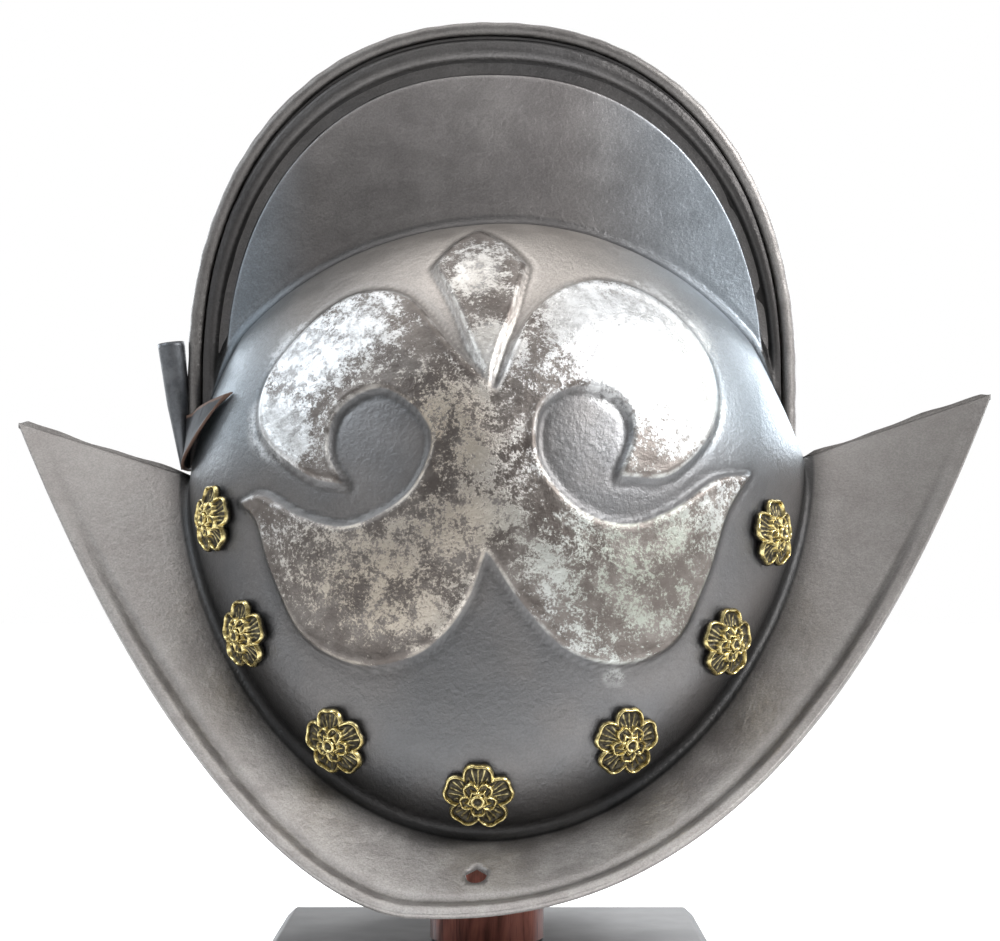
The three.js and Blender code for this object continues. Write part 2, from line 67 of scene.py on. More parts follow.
# The comb reaches 1 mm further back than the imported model's.
COMB_X, COMB_Z, COMB_HALF_LENGTH, COMB_HEIGHT, COMB_POWER = -4.6, 221.7, 109.7, 128.5, 2.2
COMB_EDGE, COMB_ROOT, BANDS_DEPTH = 2.6, 6, 22
EDGE_SHARE, ROOT_SHARE, ROOT_FILLET_SHARE = 0.4, 0.5, 0.9
BANDS_SHARE = 0.8  # the bands take at most this share of the comb's wall
FRONT_NARROWING, BACK_NARROWING = 0.64, 0.73  # width of the bands at the notches, as a share
WALL_SPREAD = 1.4  # how the comb's wall widens towards its root
ROLL_RADIUS = 2.75
ROLL_FLATTENING = 1.12  # the roll is a little wider than it is high
EDGE_INSET = {"right": 2 * ROLL_RADIUS + 0.3, "left": 1.6 * ROLL_RADIUS}

# The rim's lowest place is 1 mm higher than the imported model's.
TIP_X, BRIM_HALF_WIDTH, LOW_X, LOW_Z = 175.2, 118, -30.5, 45
FRONT_TIP_Z, BACK_TIP_Z, FRONT_RIM_POWER, BACK_RIM_POWER, FAN_POWER = 215.4, 205.1, 2.41, 1.69, 1.35
BORDER = 7.5  # rolled border of the brim
BORDER_ROWS = 11.0  # the brim's rows are closer together within this distance of the rim
BORDER_THICKENING = 0.3
LACE_ANGLE, LACE_REACH, LACE_RADIUS = math.radians(93.5), 0.52, 3.5
LACE_SQUEEZE = 0.2  # the lace hole's height counts this much less than its width
LACE_NEAR = 4  # what lies this close to the hole's middle, along its axis, is cut
LACE_SHADE = 0.5
FILLET = 4.5
FILLET_MOST = {"comb": 1 / 3, "tilt": 0.3, "brim": 0.4}  # where a wall is too short for it

# Rows of a half's section, from the comb's edge to the brim's rim.
ROWS = {"bands": 34, "panel": 16, "root": 8, "crown": 92, "base": 42, "junction": 8, "brim": 48}
COLUMNS = 312
END_COLUMNS = 12  # relief dies out over this many columns beside the notches
COARSE = 3  # the inner face has a row or column for each three of the outer
FAR = 40.0  # distance given to points that aren't near the feature in question

# The zones of a section, in order.
ON_COMB, AT_ROOT, ON_CROWN, ON_BASE, AT_JUNCTION, ON_BRIM = range(6)


# ---------------------------------------------------------------- small helpers


def smoothstep(low, high, value):
    t = np.clip((value - low) / (high - low), 0, 1)
    return t * t * (3 - 2 * t)


def bump(value, centre, width):
    return np.exp(-(((value - centre) / width) ** 2))


def mix(a, b, t):
    return a + (b - a) * t


def new_piece(name, points, faces, attributes=None):
    """A mesh object from points in millimetres. An attribute is one number a point."""
    mesh = bpy.data.meshes.new(name)
    mesh.from_pydata((np.asarray(points, float) * MM).tolist(), [], faces)
    for key, values in (attributes or {}).items():
        layer = mesh.attributes.new(key, "FLOAT", "POINT")
        layer.data.foreach_set("value", np.asarray(values, np.float32))
    tidy = bmesh.new()
    tidy.from_mesh(mesh)
    bmesh.ops.remove_doubles(tidy, verts=tidy.verts, dist=1e-7)
    bmesh.ops.dissolve_degenerate(tidy, edges=tidy.edges, dist=1e-7)
    bmesh.ops.recalc_face_normals(tidy, faces=tidy.faces)
    tidy.to_mesh(mesh)
    tidy.free()
    mesh.polygons.foreach_set("use_smooth", [True] * len(mesh.polygons))
    piece = bpy.data.objects.new(name, mesh)
    bpy.context.scene.collection.objects.link(piece)
    return piece


def finish_piece(piece, material, slot, *nodes):
    piece.data.materials.append(material)
    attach(piece, "root")
    if nodes:
        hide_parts(*nodes)
    return piece


def grid_faces(rows, columns, offset=0, wrap=False):
    """Quads of a grid whose points are stored row by row."""
    faces = []
    for i in range(rows - 1):
        for j in range(columns if wrap else columns - 1):
            k = (j + 1) % columns
            a, b = offset + i * columns, offset + (i + 1) * columns
            faces.append((a + j, b + j, b + k, a + k))
    return faces


# ---------------------------------------------------------------- the skull's form

# Angle a runs round a half from the front notch (0) to the back notch (PI).


def notch_height(a):
    return NOTCH + LEAN * np.cos(a)


def bowl_x(a):
    return BOWL_X + BOWL_HALF_LENGTH * np.cos(a)


def drop(a):
    return np.maximum(0, np.sin(a)) ** DROP_POWER


def widest_height(a):
    return notch_height(a) - WIDEST_DROP * drop(a)


def base_height(a):
    return notch_height(a) - BASE_DROP * drop(a)


def crown_height(a):
    power = np.where(a < PI / 2, FRONT_POWER, 1.0)
    return notch_height(a) + (CROWN - NOTCH) * np.maximum(0, np.sin(a)) ** power


def nose_pinch(a):
    from_notch = np.minimum(a, PI - a)
    pinch = np.sign(np.cos(a)) * NOSE_PINCH * np.sin(PI * from_notch / NOSE_ANGLE)
    return np.where(from_notch > NOSE_ANGLE, 0, pinch)


def root_half_width(a):
    return np.minimum(COMB_ROOT, ROOT_SHARE * BOWL_HALF_WIDTH * np.sin(a))


def upper_bowl(a, tilt):
    """Tilt 0 is the crown at the comb's root, PI/2 the widest level."""
    root = root_half_width(a)
    widest = widest_height(a)
    x = bowl_x(a) - nose_pinch(a) * np.cos(tilt)
    y = root + (BOWL_HALF_WIDTH * np.sin(a) - root) * np.sin(tilt)
    return np.stack(np.broadcast_arrays(x, y, widest + (crown_height(a) - widest) * np.cos(tilt)), -1)


def lower_bowl(a, t):
    """t 0 is the widest level, 1 the brim junction."""
    width = BOWL_HALF_WIDTH - (BOWL_HALF_WIDTH - BASE_HALF_WIDTH) * np.maximum(t, 0) ** TUCK_POWER
    z = mix(widest_height(a), base_height(a), t)
    return np.stack(np.broadcast_arrays(bowl_x(a), width * np.sin(a), z), -1)


def rim_point(a):
    from_tip = 1 - np.abs(1 - a / (PI / 2))
    x = np.sign(PI / 2 - a) * TIP_X * (1 - from_tip**FAN_POWER)
    front = x > LOW_X
    run = np.where(front, TIP_X - LOW_X, TIP_X + LOW_X)
    power = np.where(front, FRONT_RIM_POWER, BACK_RIM_POWER)
    tip = np.where(front, FRONT_TIP_Z, BACK_TIP_Z)
    z = LOW_Z + (tip - LOW_Z) * (np.abs(x - LOW_X) / run) ** power
    return np.stack([x, BRIM_HALF_WIDTH * (1 - (x / TIP_X) ** 2), z], -1)


def tip_fade(x):
    """0 at the tips of the peaks, 1 from 62 mm away."""
    return smoothstep(4, 62, TIP_X - np.abs(x))


def comb_reach(dx, dz, inset):
    half_length, height = COMB_HALF_LENGTH - inset, COMB_HEIGHT - inset
    total = (np.abs(dx) / half_length) ** COMB_POWER + (np.maximum(dz, 0) / height) ** COMB_POWER
    return np.where(dz < 0, half_length / np.abs(dx), total ** (-1 / COMB_POWER))


def comb_relief(depth):
    """Bands along the comb, by depth below its outline, as deep as they are at the top."""
    crease = -0.9 * (1 - smoothstep(6.0, 8.2, depth))
    ridge = 0.75 * bump(depth, 10.8, 2.4)
    groove = -1.3 * smoothstep(12.6, 15.5, depth) * (1 - smoothstep(19.1, 20.1, depth))
    return crease + ridge + groove + 0.35 * smoothstep(19.1, 20.1, depth)


def border_relief(inset, x):
    """Rolled border of the brim, by distance in from the rim. It fades towards the tips."""
    return tip_fade(x) * (1.0 * bump(inset, 2.8, 2.6) - 0.75 * bump(inset, 7.8, 2.3))


def comb_rows(a, edge_inset):
    """Points, relief and band depth of the comb's wall, for a column of angles."""
    root = upper_bowl(a, 0 * a)
    dx, dz = root[:, 0] - COMB_X, root[:, 2] - COMB_Z
    reach = np.hypot(dx, dz)
    dx, dz = dx / reach, dz / reach
    width = np.maximum(0, comb_reach(dx, dz, edge_inset) - reach)
    wall = width - np.minimum(FILLET, width * FILLET_MOST["comb"])
    narrowing = np.where(dx > 0, FRONT_NARROWING, BACK_NARROWING)
    scale = narrowing + (1 - narrowing) * np.maximum(dz, 0) ** 2
    bands_end = np.minimum(BANDS_SHARE * wall, BANDS_DEPTH * scale - edge_inset)[:, None]
    bands = np.linspace(0, 1, ROWS["bands"] + 1)[None, :] * bands_end
    panel = mix(bands_end, wall[:, None], np.linspace(0, 1, ROWS["panel"] + 1)[None, 1:])
    inset = np.hstack([bands[:, :1], bands, panel])
    rank = np.linspace(0, 1, inset.shape[1])[None, :]
    share = np.where(width[:, None] > 1, inset / np.maximum(width, 1e-6)[:, None], rank)
    edge = np.minimum(COMB_EDGE, EDGE_SHARE * root[:, 1])
    y = mix(edge[:, None], root[:, 1:2] * ROOT_FILLET_SHARE, share**WALL_SPREAD)
    y[:, 0] = 0
    out = reach[:, None] + np.maximum(0, width[:, None] - inset)
    points = np.stack([COMB_X + dx[:, None] * out, y, COMB_Z + dz[:, None] * out], -1)
    depth = (inset + edge_inset) / scale[:, None]
    fade = smoothstep(2, 12, width)[:, None] * smoothstep(0, 3, wall[:, None] - inset)
    relief = comb_relief(depth) * fade
    relief[:, :2] = 0
    return points, relief, depth


def soft_corner(before, corner, after, rows):
    """Points of a rounded corner, without its two ends."""
    t = np.linspace(0, 1, rows + 1)[None, 1:-1, None]
    return (1 - t) ** 2 * before[:, None] + 2 * t * (1 - t) * corner[:, None] + t**2 * after[:, None]


def brim_inset(reach):
    """Distance in from the rim of each of the brim's rows, closer together at its border."""
    inner_rows, border_rows = ROWS["brim"] // 3, ROWS["brim"] * 2 // 3
    from_fillet = mix((reach - FILLET)[:, None], BORDER_ROWS, np.linspace(0, 1, inner_rows)[None, :])
    to_rim = mix(BORDER_ROWS, 0.0, np.linspace(0, 1, border_rows + 1)[None, 1:])
    return np.hstack([from_fillet, to_rim * np.ones((len(reach), 1))])


def section_parts(side_name, a):
    """The six parts of each section, with the comb's relief and depth and the brim's reach and inset."""
    comb, comb_height, comb_depth = comb_rows(a, EDGE_INSET[side_name])
    first_tilt = np.minimum(FILLET_MOST["tilt"], FILLET / (BOWL_HALF_WIDTH * np.sin(a)))
    tilts = mix(first_tilt[:, None], PI / 2, np.linspace(0, 1, ROWS["crown"] + 1)[None, :])
    crown = upper_bowl(a[:, None], tilts)
    root = soft_corner(comb[:, -1], upper_bowl(a, 0 * a), crown[:, 0], ROWS["root"])
    depth = widest_height(a) - base_height(a)
    last = 1 - np.minimum(FILLET, FILLET_MOST["brim"] * depth) / np.maximum(depth, 1e-9)
    base = lower_bowl(a[:, None], last[:, None] * np.linspace(0, 1, ROWS["base"] + 1)[None, 1:])
    junction, rim = lower_bowl(a, 1.0), rim_point(a)
    reach = np.linalg.norm(rim - junction, axis=1)
    inset = brim_inset(reach)
    brim = mix(rim[:, None], junction[:, None], (inset / reach[:, None])[..., None])
    corner = soft_corner(base[:, -1], junction, brim[:, 0], ROWS["junction"])
    return [comb, root, crown, base, corner, brim], comb_height, comb_depth, junction, reach, inset


def in_columns(shape, elsewhere, columns, values):
    """A grid of one value, with other values in some of its columns."""
    grid = np.full(shape, float(elsewhere))
    grid[:, columns] = values
    return grid


def section_grid(side_name):
    """Outer form of one half on the +Y side: points, relief, thickness and where each row lies."""
    a = np.linspace(0, PI, COLUMNS + 1)
    a[0], a[-1] = 1e-5, PI - 1e-5
    parts, comb_height, comb_depth, junction, reach, inset = section_parts(side_name, a)
    points = np.concatenate(parts, 1)
    zone = np.concatenate([np.full(part.shape[:2], k, float) for k, part in enumerate(parts)], 1)
    shape, brim = zone.shape, parts[ON_BRIM]
    comb_part, brim_part = slice(0, comb_height.shape[1]), slice(-brim.shape[1], None)
    relief = in_columns(shape, 0, comb_part, comb_height)
    relief[:, brim_part] = border_relief(inset, brim[..., 0])
    border = (1 - smoothstep(5.5, BORDER, inset)) * tip_fade(brim[..., 0])
    from_junction = np.where(zone < AT_JUNCTION, FAR, 0.0)
    from_junction[:, brim_part] = reach[:, None] - inset
    for column in (0, -1):
        points[column][zone[column] < ON_BRIM] = junction[column]
    points[[0, -1], :, 1] = 0
    return {
        "points": points,
        "relief": relief,
        "thickness": in_columns(shape, SHEET, brim_part, SHEET + BORDER_THICKENING * border),
        "zone": zone,
        "band_depth": in_columns(shape, FAR, comb_part, comb_depth),
        "rim_inset": in_columns(shape, FAR, brim_part, inset),
        "from_junction": from_junction,
    }


def form_normals(points, zone):
    sums = np.cross(np.gradient(points, axis=1), np.gradient(points, axis=0))
    length = np.linalg.norm(sums, axis=2, keepdims=True)
    normals = np.where(length > 1e-9, sums / np.maximum(length, 1e-9), 0)
    for column, way in ((0, 1.0), (-1, -1.0)):
        normals[column][zone[column] < ON_BRIM] = (way, 0, 0)
    return normals


# ---------------------------------------------------------------- the raised lily

# Outlines in the side view, (x, z), as smooth runs between sharp corners.
LILY_BODY = [
    [(-3, 210), (-17, 225), (-34, 244), (-56, 242), (-78, 219), (-81, 198), (-65, 183), (-51, 179)],
    [(-51, 179), (-57, 190), (-54, 204), (-41, 211), (-28, 203), (-24, 192), (-32, 176), (-50, 166.5),
     (-66, 169.5), (-80, 177), (-88.5, 174.5)],
    [(-88.5, 174.5), (-82, 168), (-76.5, 151), (-65, 130), (-45, 121), (-26, 126), (-13, 140), (-6, 158)],
    [(-6, 158), (6, 140), (20, 126), (38, 121.5), (55, 129), (66, 150), (73, 171), (81.5, 184)],
    [(81.5, 184), (69, 182), (54, 172), (38, 167), (22, 173), (11, 188), (12, 204), (23, 211),
     (36, 208), (41, 197), (36, 182)],
    [(36, 182), (54, 183), (69, 200), (68, 223), (51, 243), (29, 249), (9, 237), (-3, 210)],
]
LILY_BUD = [
    [(-9, 269), (-17, 263), (-24, 254)],
    [(-24, 254), (-16.5, 239), (-11, 225), (-5, 211)],
    [(-5, 211), (-1.5, 225), (2, 234), (7.5, 254)],
    [(7.5, 254), (1, 262), (-9, 269)],
]
LILY_HEIGHT, LILY_RAMP = 1.9, 1.2
NO_LILY = -30.0  # distance given to points far outside the lily


def spline(run, steps=10):
    """A Catmull-Rom curve through the points of a run."""
    p = np.array(run, float)
    p = np.vstack([2 * p[0] - p[1], p, 2 * p[-1] - p[-2]])
    t = np.linspace(0, 1, steps, endpoint=False)[:, None]
    pieces = []
    for k in range(1, len(p) - 2):
        b, c, d, e = p[k - 1], p[k], p[k + 1], p[k + 2]
        pieces.append(0.5 * (2 * c + (d - b) * t + (2 * b - 5 * c + 4 * d - e) * t**2
                             + (3 * c - b - 3 * d + e) * t**3))
    return np.vstack(pieces)


def outline(runs):
    return np.vstack([spline(run) for run in runs])


def signed_distance(x, z, loop):
    """Distance to a closed loop in the side view, positive inside."""
    start, end = loop, np.roll(loop, -1, axis=0)
    best = np.full(x.shape, 1e9)
    inside = np.zeros(x.shape, bool)
    for (px, pz), (qx, qz) in zip(start, end):
        dx, dz = qx - px, qz - pz
        t = np.clip(((x - px) * dx + (z - pz) * dz) / max(dx * dx + dz * dz, 1e-9), 0, 1)
        best = np.minimum(best, np.hypot(x - px - t * dx, z - pz - t * dz))
        crosses = ((pz > z) != (qz > z)) & (x < px + (z - pz) * dx / (dz if abs(dz) > 1e-9 else 1e-9))
        inside ^= crosses
    return np.where(inside, best, -best)


def lily_distance(points, zone):
    """How far inside the lily's outline each point of the bowl is, in millimetres."""
    on_bowl = (zone == ON_CROWN) | (zone == ON_BASE)
    distance = np.full(zone.shape, NO_LILY)
    x, z = points[..., 0][on_bowl], points[..., 2][on_bowl]
    body, bud = outline(LILY_BODY), outline(LILY_BUD)
    distance[on_bowl] = np.maximum(signed_distance(x, z, body), signed_distance(x, z, bud))
    return distance


def lily_relief(distance):
    rise = smoothstep(-LILY_RAMP, LILY_RAMP, distance)
    rim = 0.35 * bump(distance, 1.7, 1.0)
    ditch = -0.3 * bump(distance, -2.0, 0.9)
    pillow = 1.0 * smoothstep(2, 18, distance)
    return LILY_HEIGHT * rise + rim + ditch + pillow


# Where the lily is worn bright, with painted highlights on the same places, its tints, and the painted light
# on the ground in its curls: x, z, radius, amount.
WEAR_AND_SHEEN = [
    (46, 226, 34, 1.0), (62, 205, 18, 0.9), (24, 236, 18, 0.9), (30, 222, 16, 0.85), (-66, 222, 22, 0.85),
    (-75, 200, 18, 0.9), (-48, 232, 18, 0.75), (-17, 205, 20, 0.6), (-6, 185, 18, 0.66), (-4, 170, 14, 0.7),
    (-9, 250, 14, 0.8), (-4, 224, 12, 1.0), (-18, 168, 16, 0.55), (-38, 150, 26, 0.6), (-64, 158, 20, 0.52),
    (-20, 140, 18, 0.6), (20, 155, 22, 0.58), (45, 145, 24, 0.5), (60, 165, 16, 0.6), (30, 135, 18, 0.45),
    (35, 117, 7, 0.75), (74, 178, 9, 0.6),
]
WARM = [(-25, 195, 30, 1.0), (-20, 165, 30, 0.9), (-42, 145, 40, 0.95), (-9, 240, 26, 0.5)]
GREENISH = [(45, 150, 35, 1.0), (20, 160, 22, 0.6), (66, 212, 20, 0.5)]
PAINTED_CURL_LIGHT = [(-39, 189, 20, 0.8), (27, 190, 20, 1.0)]


def blobs(x, z, places):
    total = np.zeros(x.shape)
    for cx, cz, radius, amount in places:
        total = np.maximum(total, amount * np.exp(-(((x - cx) ** 2 + (z - cz) ** 2) / radius**2) ** 1.5))
    return total


# ---------------------------------------------------------------- skull halves


def unevenness(points):
    """Slow hammered waviness, a fraction of a millimetre high."""
    x, y, z = points[..., 0], points[..., 1], points[..., 2]
    wave = np.sin(x / 9.1 + 1.3 * np.sin(z / 17)) * np.sin(z / 8.3 + np.sin(x / 21) + y / 13)
    wave += 0.6 * np.sin(x / 4.7 + z / 6.1) * np.sin(z / 5.2 - x / 7.9 + y / 6)
    return 0.09 * wave


def skull_half(side_name, side):
    grid = section_grid(side_name)
    points, zone = grid["points"], grid["zone"]
    normals = form_normals(points, zone)
    way = normals.copy()
    seam = points[..., 1] < 1e-6
    flat = normals * (1, 0, 1)
    way[seam] = flat[seam] / np.maximum(0.3, (flat[seam] ** 2).sum(1))[:, None]
    lily = lily_distance(points, zone)
    from_end = np.minimum(np.arange(COLUMNS + 1), np.arange(COLUMNS, -1, -1))
    ends = np.minimum(1, from_end / END_COLUMNS)[:, None]
    relief = grid["relief"] * np.maximum(ends, zone == ON_BRIM)
    relief = relief + lily_relief(lily) + unevenness(points) * ends
    relief[seam & (zone == ON_COMB)] = 0
    outer = points + way * relief[..., None]
    if side_name == "left":
        raise_lap(outer, zone)
    inner = (points - way * grid["thickness"][..., None])[::COARSE]
    keep = sorted(set(range(0, points.shape[1], COARSE)) | {points.shape[1] - 1})
    inner = inner[:, keep]
    for surface, at_seam in ((outer, seam), (inner, seam[::COARSE][:, keep])):
        surface[..., 0] = np.clip(surface[..., 0], -TIP_X, TIP_X)
        off_seam = np.maximum(surface[..., 1] + SEAM, SEAM + SEAM_MARGIN)
        surface[..., 1] = np.where(at_seam, SEAM, off_seam)
    rows, columns = points.shape[:2]
    faces = grid_faces(rows, columns)
    faces += grid_faces(inner.shape[0], inner.shape[1], rows * columns)
    faces += joined_edges(rows, columns, keep)
    attributes = {
        key: np.concatenate([value.ravel(), inner_attribute(key, value[::COARSE][:, keep]).ravel()])
        for key, value in skull_attributes(points, zone, grid, lily).items()
    }
    everything = np.vstack([outer.reshape(-1, 3), inner.reshape(-1, 3)]) * (1, side, 1)
    piece = new_piece(f"skull_{side_name}_shell", everything, faces, attributes)
    drill_lace_hole(piece, side)
    return piece


def raise_lap(outer, zone):
    """The left half's edge stands a little proud along the ridges of the two peaks."""
    for column in (0, -1):
        on_ridge = zone[column] == ON_BRIM
        x = outer[column][on_ridge, 0]
        wavy = 1.0 + 0.35 * np.sin(x / 7.3) + 0.2 * np.sin(x / 2.9)
        lap = wavy + 0.5 * smoothstep(130, 172, np.abs(x))
        outer[column, on_ridge, 2] += lap * smoothstep(0, 4, TIP_X - np.abs(x))


def surface_frame(surface, u, v):
    """Place, outward way and way down of a point on the bowl or the brim, +Y side."""
    step = 1e-3
    du = surface(u + step, v) - surface(u - step, v)
    dv = surface(u, v + step) - surface(u, v - step)
    return Vector(surface(u, v)), Vector(np.cross(dv, du)).normalized(), Vector(dv).normalized()


def brim_surface(a, t):
    return mix(lower_bowl(a, 1.0), rim_point(np.array(a)), t)


def drill_lace_hole(piece, side):
    """Open a hole, a little longer down the brim, through both faces of the brim and line it."""
    centre, way, down = surface_frame(brim_surface, LACE_ANGLE, LACE_REACH)
    centre = Vector((centre.x, side * (centre.y + SEAM), centre.z)) * MM
    way.y *= side
    down.y *= side
    radius = LACE_RADIUS * MM

    def off_axis(place):
        away = place - centre
        flat = away - way * away.dot(way)
        return flat - down * flat.dot(down) * LACE_SQUEEZE, abs(away.dot(way)), flat

    def is_inside(face):
        squeezed, height, _ = off_axis(face.calc_center_median())
        return squeezed.length < radius and height < LACE_NEAR * MM

    build = bmesh.new()
    build.from_mesh(piece.data)
    shade = build.verts.layers.float["shade"]
    bmesh.ops.delete(build, geom=[f for f in build.faces if is_inside(f)], context="FACES")
    loose = [v for v in build.verts if not v.link_faces]
    bmesh.ops.delete(build, geom=loose, context="VERTS")
    rim = [e for e in build.edges if e.is_boundary]
    for vert in {v for e in rim for v in e.verts}:
        squeezed, _, flat = off_axis(vert.co)
        vert.co += flat * (radius / squeezed.length - 1)
        # Painted shade darkens the hole's edge.
        vert[shade] = LACE_SHADE
    bmesh.ops.bridge_loops(build, edges=rim)
    bmesh.ops.recalc_face_normals(build, faces=build.faces)
    build.to_mesh(piece.data)
    build.free()
    piece.data.polygons.foreach_set("use_smooth", [True] * len(piece.data.polygons))


def inner_attribute(key, values):
    """Inside the helmet there is no lily and no bright patch, and the steel is darker."""
    plain = {"lily": NO_LILY, "wear_and_sheen": 0.0, "shade": 0.6}
    return np.full(values.shape, plain[key]) if key in plain else values


def joined_edges(rows, columns, keep):
    """Faces that close the fine outer grid to the coarse inner grid along its four sides."""
    start = rows * columns
    width = len(keep)
    faces = []
    for column, inner_column in ((0, 0), (columns - 1, width - 1)):
        for i in range(0, rows - 1, COARSE):
            run = [k * columns + column for k in range(i, i + COARSE + 1)]
            here = start + (i // COARSE) * width + inner_column
            faces.append(tuple(run + [here + width, here]))
    for row, inner_row in ((0, 0), (rows - 1, (rows - 1) // COARSE)):
        for k in range(width - 1):
            run = [row * columns + j for j in range(keep[k], keep[k + 1] + 1)]
            here = start + inner_row * width + k
            faces.append(tuple(run + [here + 1, here]))
    return faces


def comb_bands_painted_shade(depth, x):
    """Painted shade on the comb's roll, crease, ridge and groove: how much darker they are than its panel,
    the ridge more so towards the front. The groove's dark is partly dirt.
    """
    dark = (0.42 + 0.25 * smoothstep(0, 70, x)) * (1 - smoothstep(12, 13.5, depth)) * smoothstep(6, 8, depth)
    dark += 0.7 * (1 - smoothstep(6.3, 8.0, depth))
    return dark + 0.86 * smoothstep(12.2, 14.2, depth) * (1 - smoothstep(19.2, 20.0, depth))


def skull_shade(x, z, zone, grid, lily, on_bowl):
    """Painted light and shade on the steel, by place: 1 is its plain tone."""
    along = np.linspace(PI, 0, 90)
    above_base = z - np.interp(x, bowl_x(along), base_height(along))
    depth = grid["band_depth"]
    # Painted shade: the bowl and the brim both darken towards their junction, and so does the fillet there.
    shade = 1 - 0.62 * (1 - smoothstep(0, 24, above_base)) * on_bowl
    shade -= 0.5 * (1 - smoothstep(2, 12, grid["from_junction"])) * (zone == ON_BRIM)
    shade -= 0.12 * (zone == AT_JUNCTION)
    # Painted shade dims the fillet at the comb's root, more towards the front.
    shade -= (0.3 + 0.25 * smoothstep(10, 70, x)) * (zone == AT_ROOT)
    shade -= comb_bands_painted_shade(depth, x)
    # A painted highlight runs along the panel's edge above the groove.
    shade += 0.35 * bump(depth, 20.5, 0.5)
    # Painted light and shade: the brim darkens towards its tips, and the bowl and the comb are lighter in
    # front, the comb also towards its top.
    painted_shade_to_tips = 1 - 0.58 * smoothstep(50, 150, x) - 0.33 * smoothstep(60, 165, -x)
    shade *= np.where(zone == ON_BRIM, painted_shade_to_tips, 1)
    shade *= np.where((zone > AT_ROOT) & (zone < AT_JUNCTION), 0.9 + 0.22 * smoothstep(-30, 60, x), 1)
    # Painted light brightens the bowl's ground inside the lily's round curls.
    shade += 0.5 * blobs(x, z, PAINTED_CURL_LIGHT) * (1 - smoothstep(-2, 0, lily)) * on_bowl
    painted_comb_light = 1.25 - 0.35 * (1 - smoothstep(-60, 40, x)) - 0.3 * (1 - smoothstep(285, 325, z))
    shade *= np.where(zone < ON_CROWN, painted_comb_light, 1)
    # Painted shade lies in the groove inside the brim's border and in the ditch round the lily.
    shade -= 0.28 * bump(grid["rim_inset"], 7.8, 2.0) * tip_fade(x)
    return shade - 0.4 * bump(lily, -1.5, 0.8)


def skull_attributes(points, zone, grid, lily):
    x, z = points[..., 0], points[..., 2]
    on_bowl = (zone > AT_ROOT) & (zone < ON_BRIM)
    depth = grid["band_depth"]
    panel = mix(0.45, 1.0, smoothstep(19.0, 20.5, depth))
    # A painted blue reflection lies on the comb's panel and on the bowl, towards its front and its back.
    painted_blue_reflection = np.maximum(smoothstep(20, 85, x), smoothstep(66, 96, -x))
    painted_blue_reflection = painted_blue_reflection * np.where(zone < ON_CROWN, smoothstep(19.2, 20.5, depth), smoothstep(178, 205, z))
    # A painted sheen lies on the upper bowl, weaker towards the back.
    painted_crown_sheen = smoothstep(205, 245, z) * on_bowl * (0.42 + 0.58 * smoothstep(-70, -5, x))
    return {
        "lily": lily,
        "shade": skull_shade(x, z, zone, grid, lily, on_bowl),
        # Within 6 mm of the junction the brim takes the darker bowl tone, as part of the painted shade
        # there.
        "brim": (zone == ON_BRIM) * smoothstep(0, 6, grid["from_junction"]),
        "comb": np.select([zone == ON_COMB, zone == AT_ROOT], [panel, 0.5], 0.0),
        "wear_and_sheen": blobs(x, z, WEAR_AND_SHEEN),
        "warm": blobs(x, z, WARM),
        "greenish": blobs(x, z, GREENISH),
        "painted_crown_sheen": painted_crown_sheen,
        "painted_blue_reflection": painted_blue_reflection * (zone < AT_JUNCTION),
    }


def comb_roll():
    """The turned edge along the comb, with a straight upright run at each end."""
    half_length, height = COMB_HALF_LENGTH - ROLL_RADIUS, COMB_HEIGHT - ROLL_RADIUS
    turn = np.linspace(0, PI, 260)
    x = np.sign(np.cos(turn)) * half_length * np.abs(np.cos(turn)) ** (2 / COMB_POWER)
    z = height * np.abs(np.sin(turn)) ** (2 / COMB_POWER)
    down = np.linspace(194.5, COMB_Z - 1, 24)
    path = np.vstack([
        np.stack([np.full(24, COMB_X + half_length), down], 1),
        np.stack([COMB_X + x, COMB_Z + z], 1),
        np.stack([np.full(24, COMB_X - half_length), down[::-1] - 6], 1),
    ])
    along = np.gradient(path, axis=0)
    along /= np.linalg.norm(along, axis=1)[:, None]
    out = np.stack([along[:, 1], -along[:, 0]], 1)
    distance = np.concatenate([[0], np.cumsum(np.linalg.norm(np.diff(path, axis=0), axis=1))])
    sides = 20
    phi = np.linspace(0, 2 * PI, sides, endpoint=False)
    dents = 0.1 * np.sin(distance / 3.1) * np.sin(distance / 11) + 0.08 * np.sin(distance / 1.7)
    radius = (ROLL_RADIUS + dents)[:, None] * (1 - 0.06 * np.cos(phi - 0.8))[None, :]
    radius = np.minimum(radius, ROLL_RADIUS + 0.15)
    lateral = radius * np.sin(phi) * ROLL_FLATTENING
    points = np.stack([
        path[:, :1] + out[:, :1] * radius * np.cos(phi),
        lateral,
        path[:, 1:] + out[:, 1:] * radius * np.cos(phi),
    ], -1)
    faces = grid_faces(len(path), sides, wrap=True)
    faces.append(tuple(range(sides)))
    faces.append(tuple(range((len(path) - 1) * sides, len(path) * sides)))
    # Painted light and shade: the roll is lighter towards the front and on its outer side, and darker where
    # it meets the comb.
    tone = 0.5 + 0.4 * smoothstep(40, 95, path[:, :1])
    shade = (tone * (1 + 0.1 * np.cos(phi) - 0.35 * bump(phi, PI, 0.9))).ravel()
    ones = np.ones(points.shape[0] * sides)
    attributes = {key: 0 * ones for key in ("wear_and_sheen", "warm", "greenish", "painted_crown_sheen", "painted_blue_reflection")}
    attributes.update({"lily": NO_LILY * ones, "shade": shade, "brim": 0.75 * ones, "comb": 0.5 * ones})
    return new_piece("comb_roll", points.reshape(-1, 3), faces, attributes)


# ---------------------------------------------------------------- rosettes and rivets

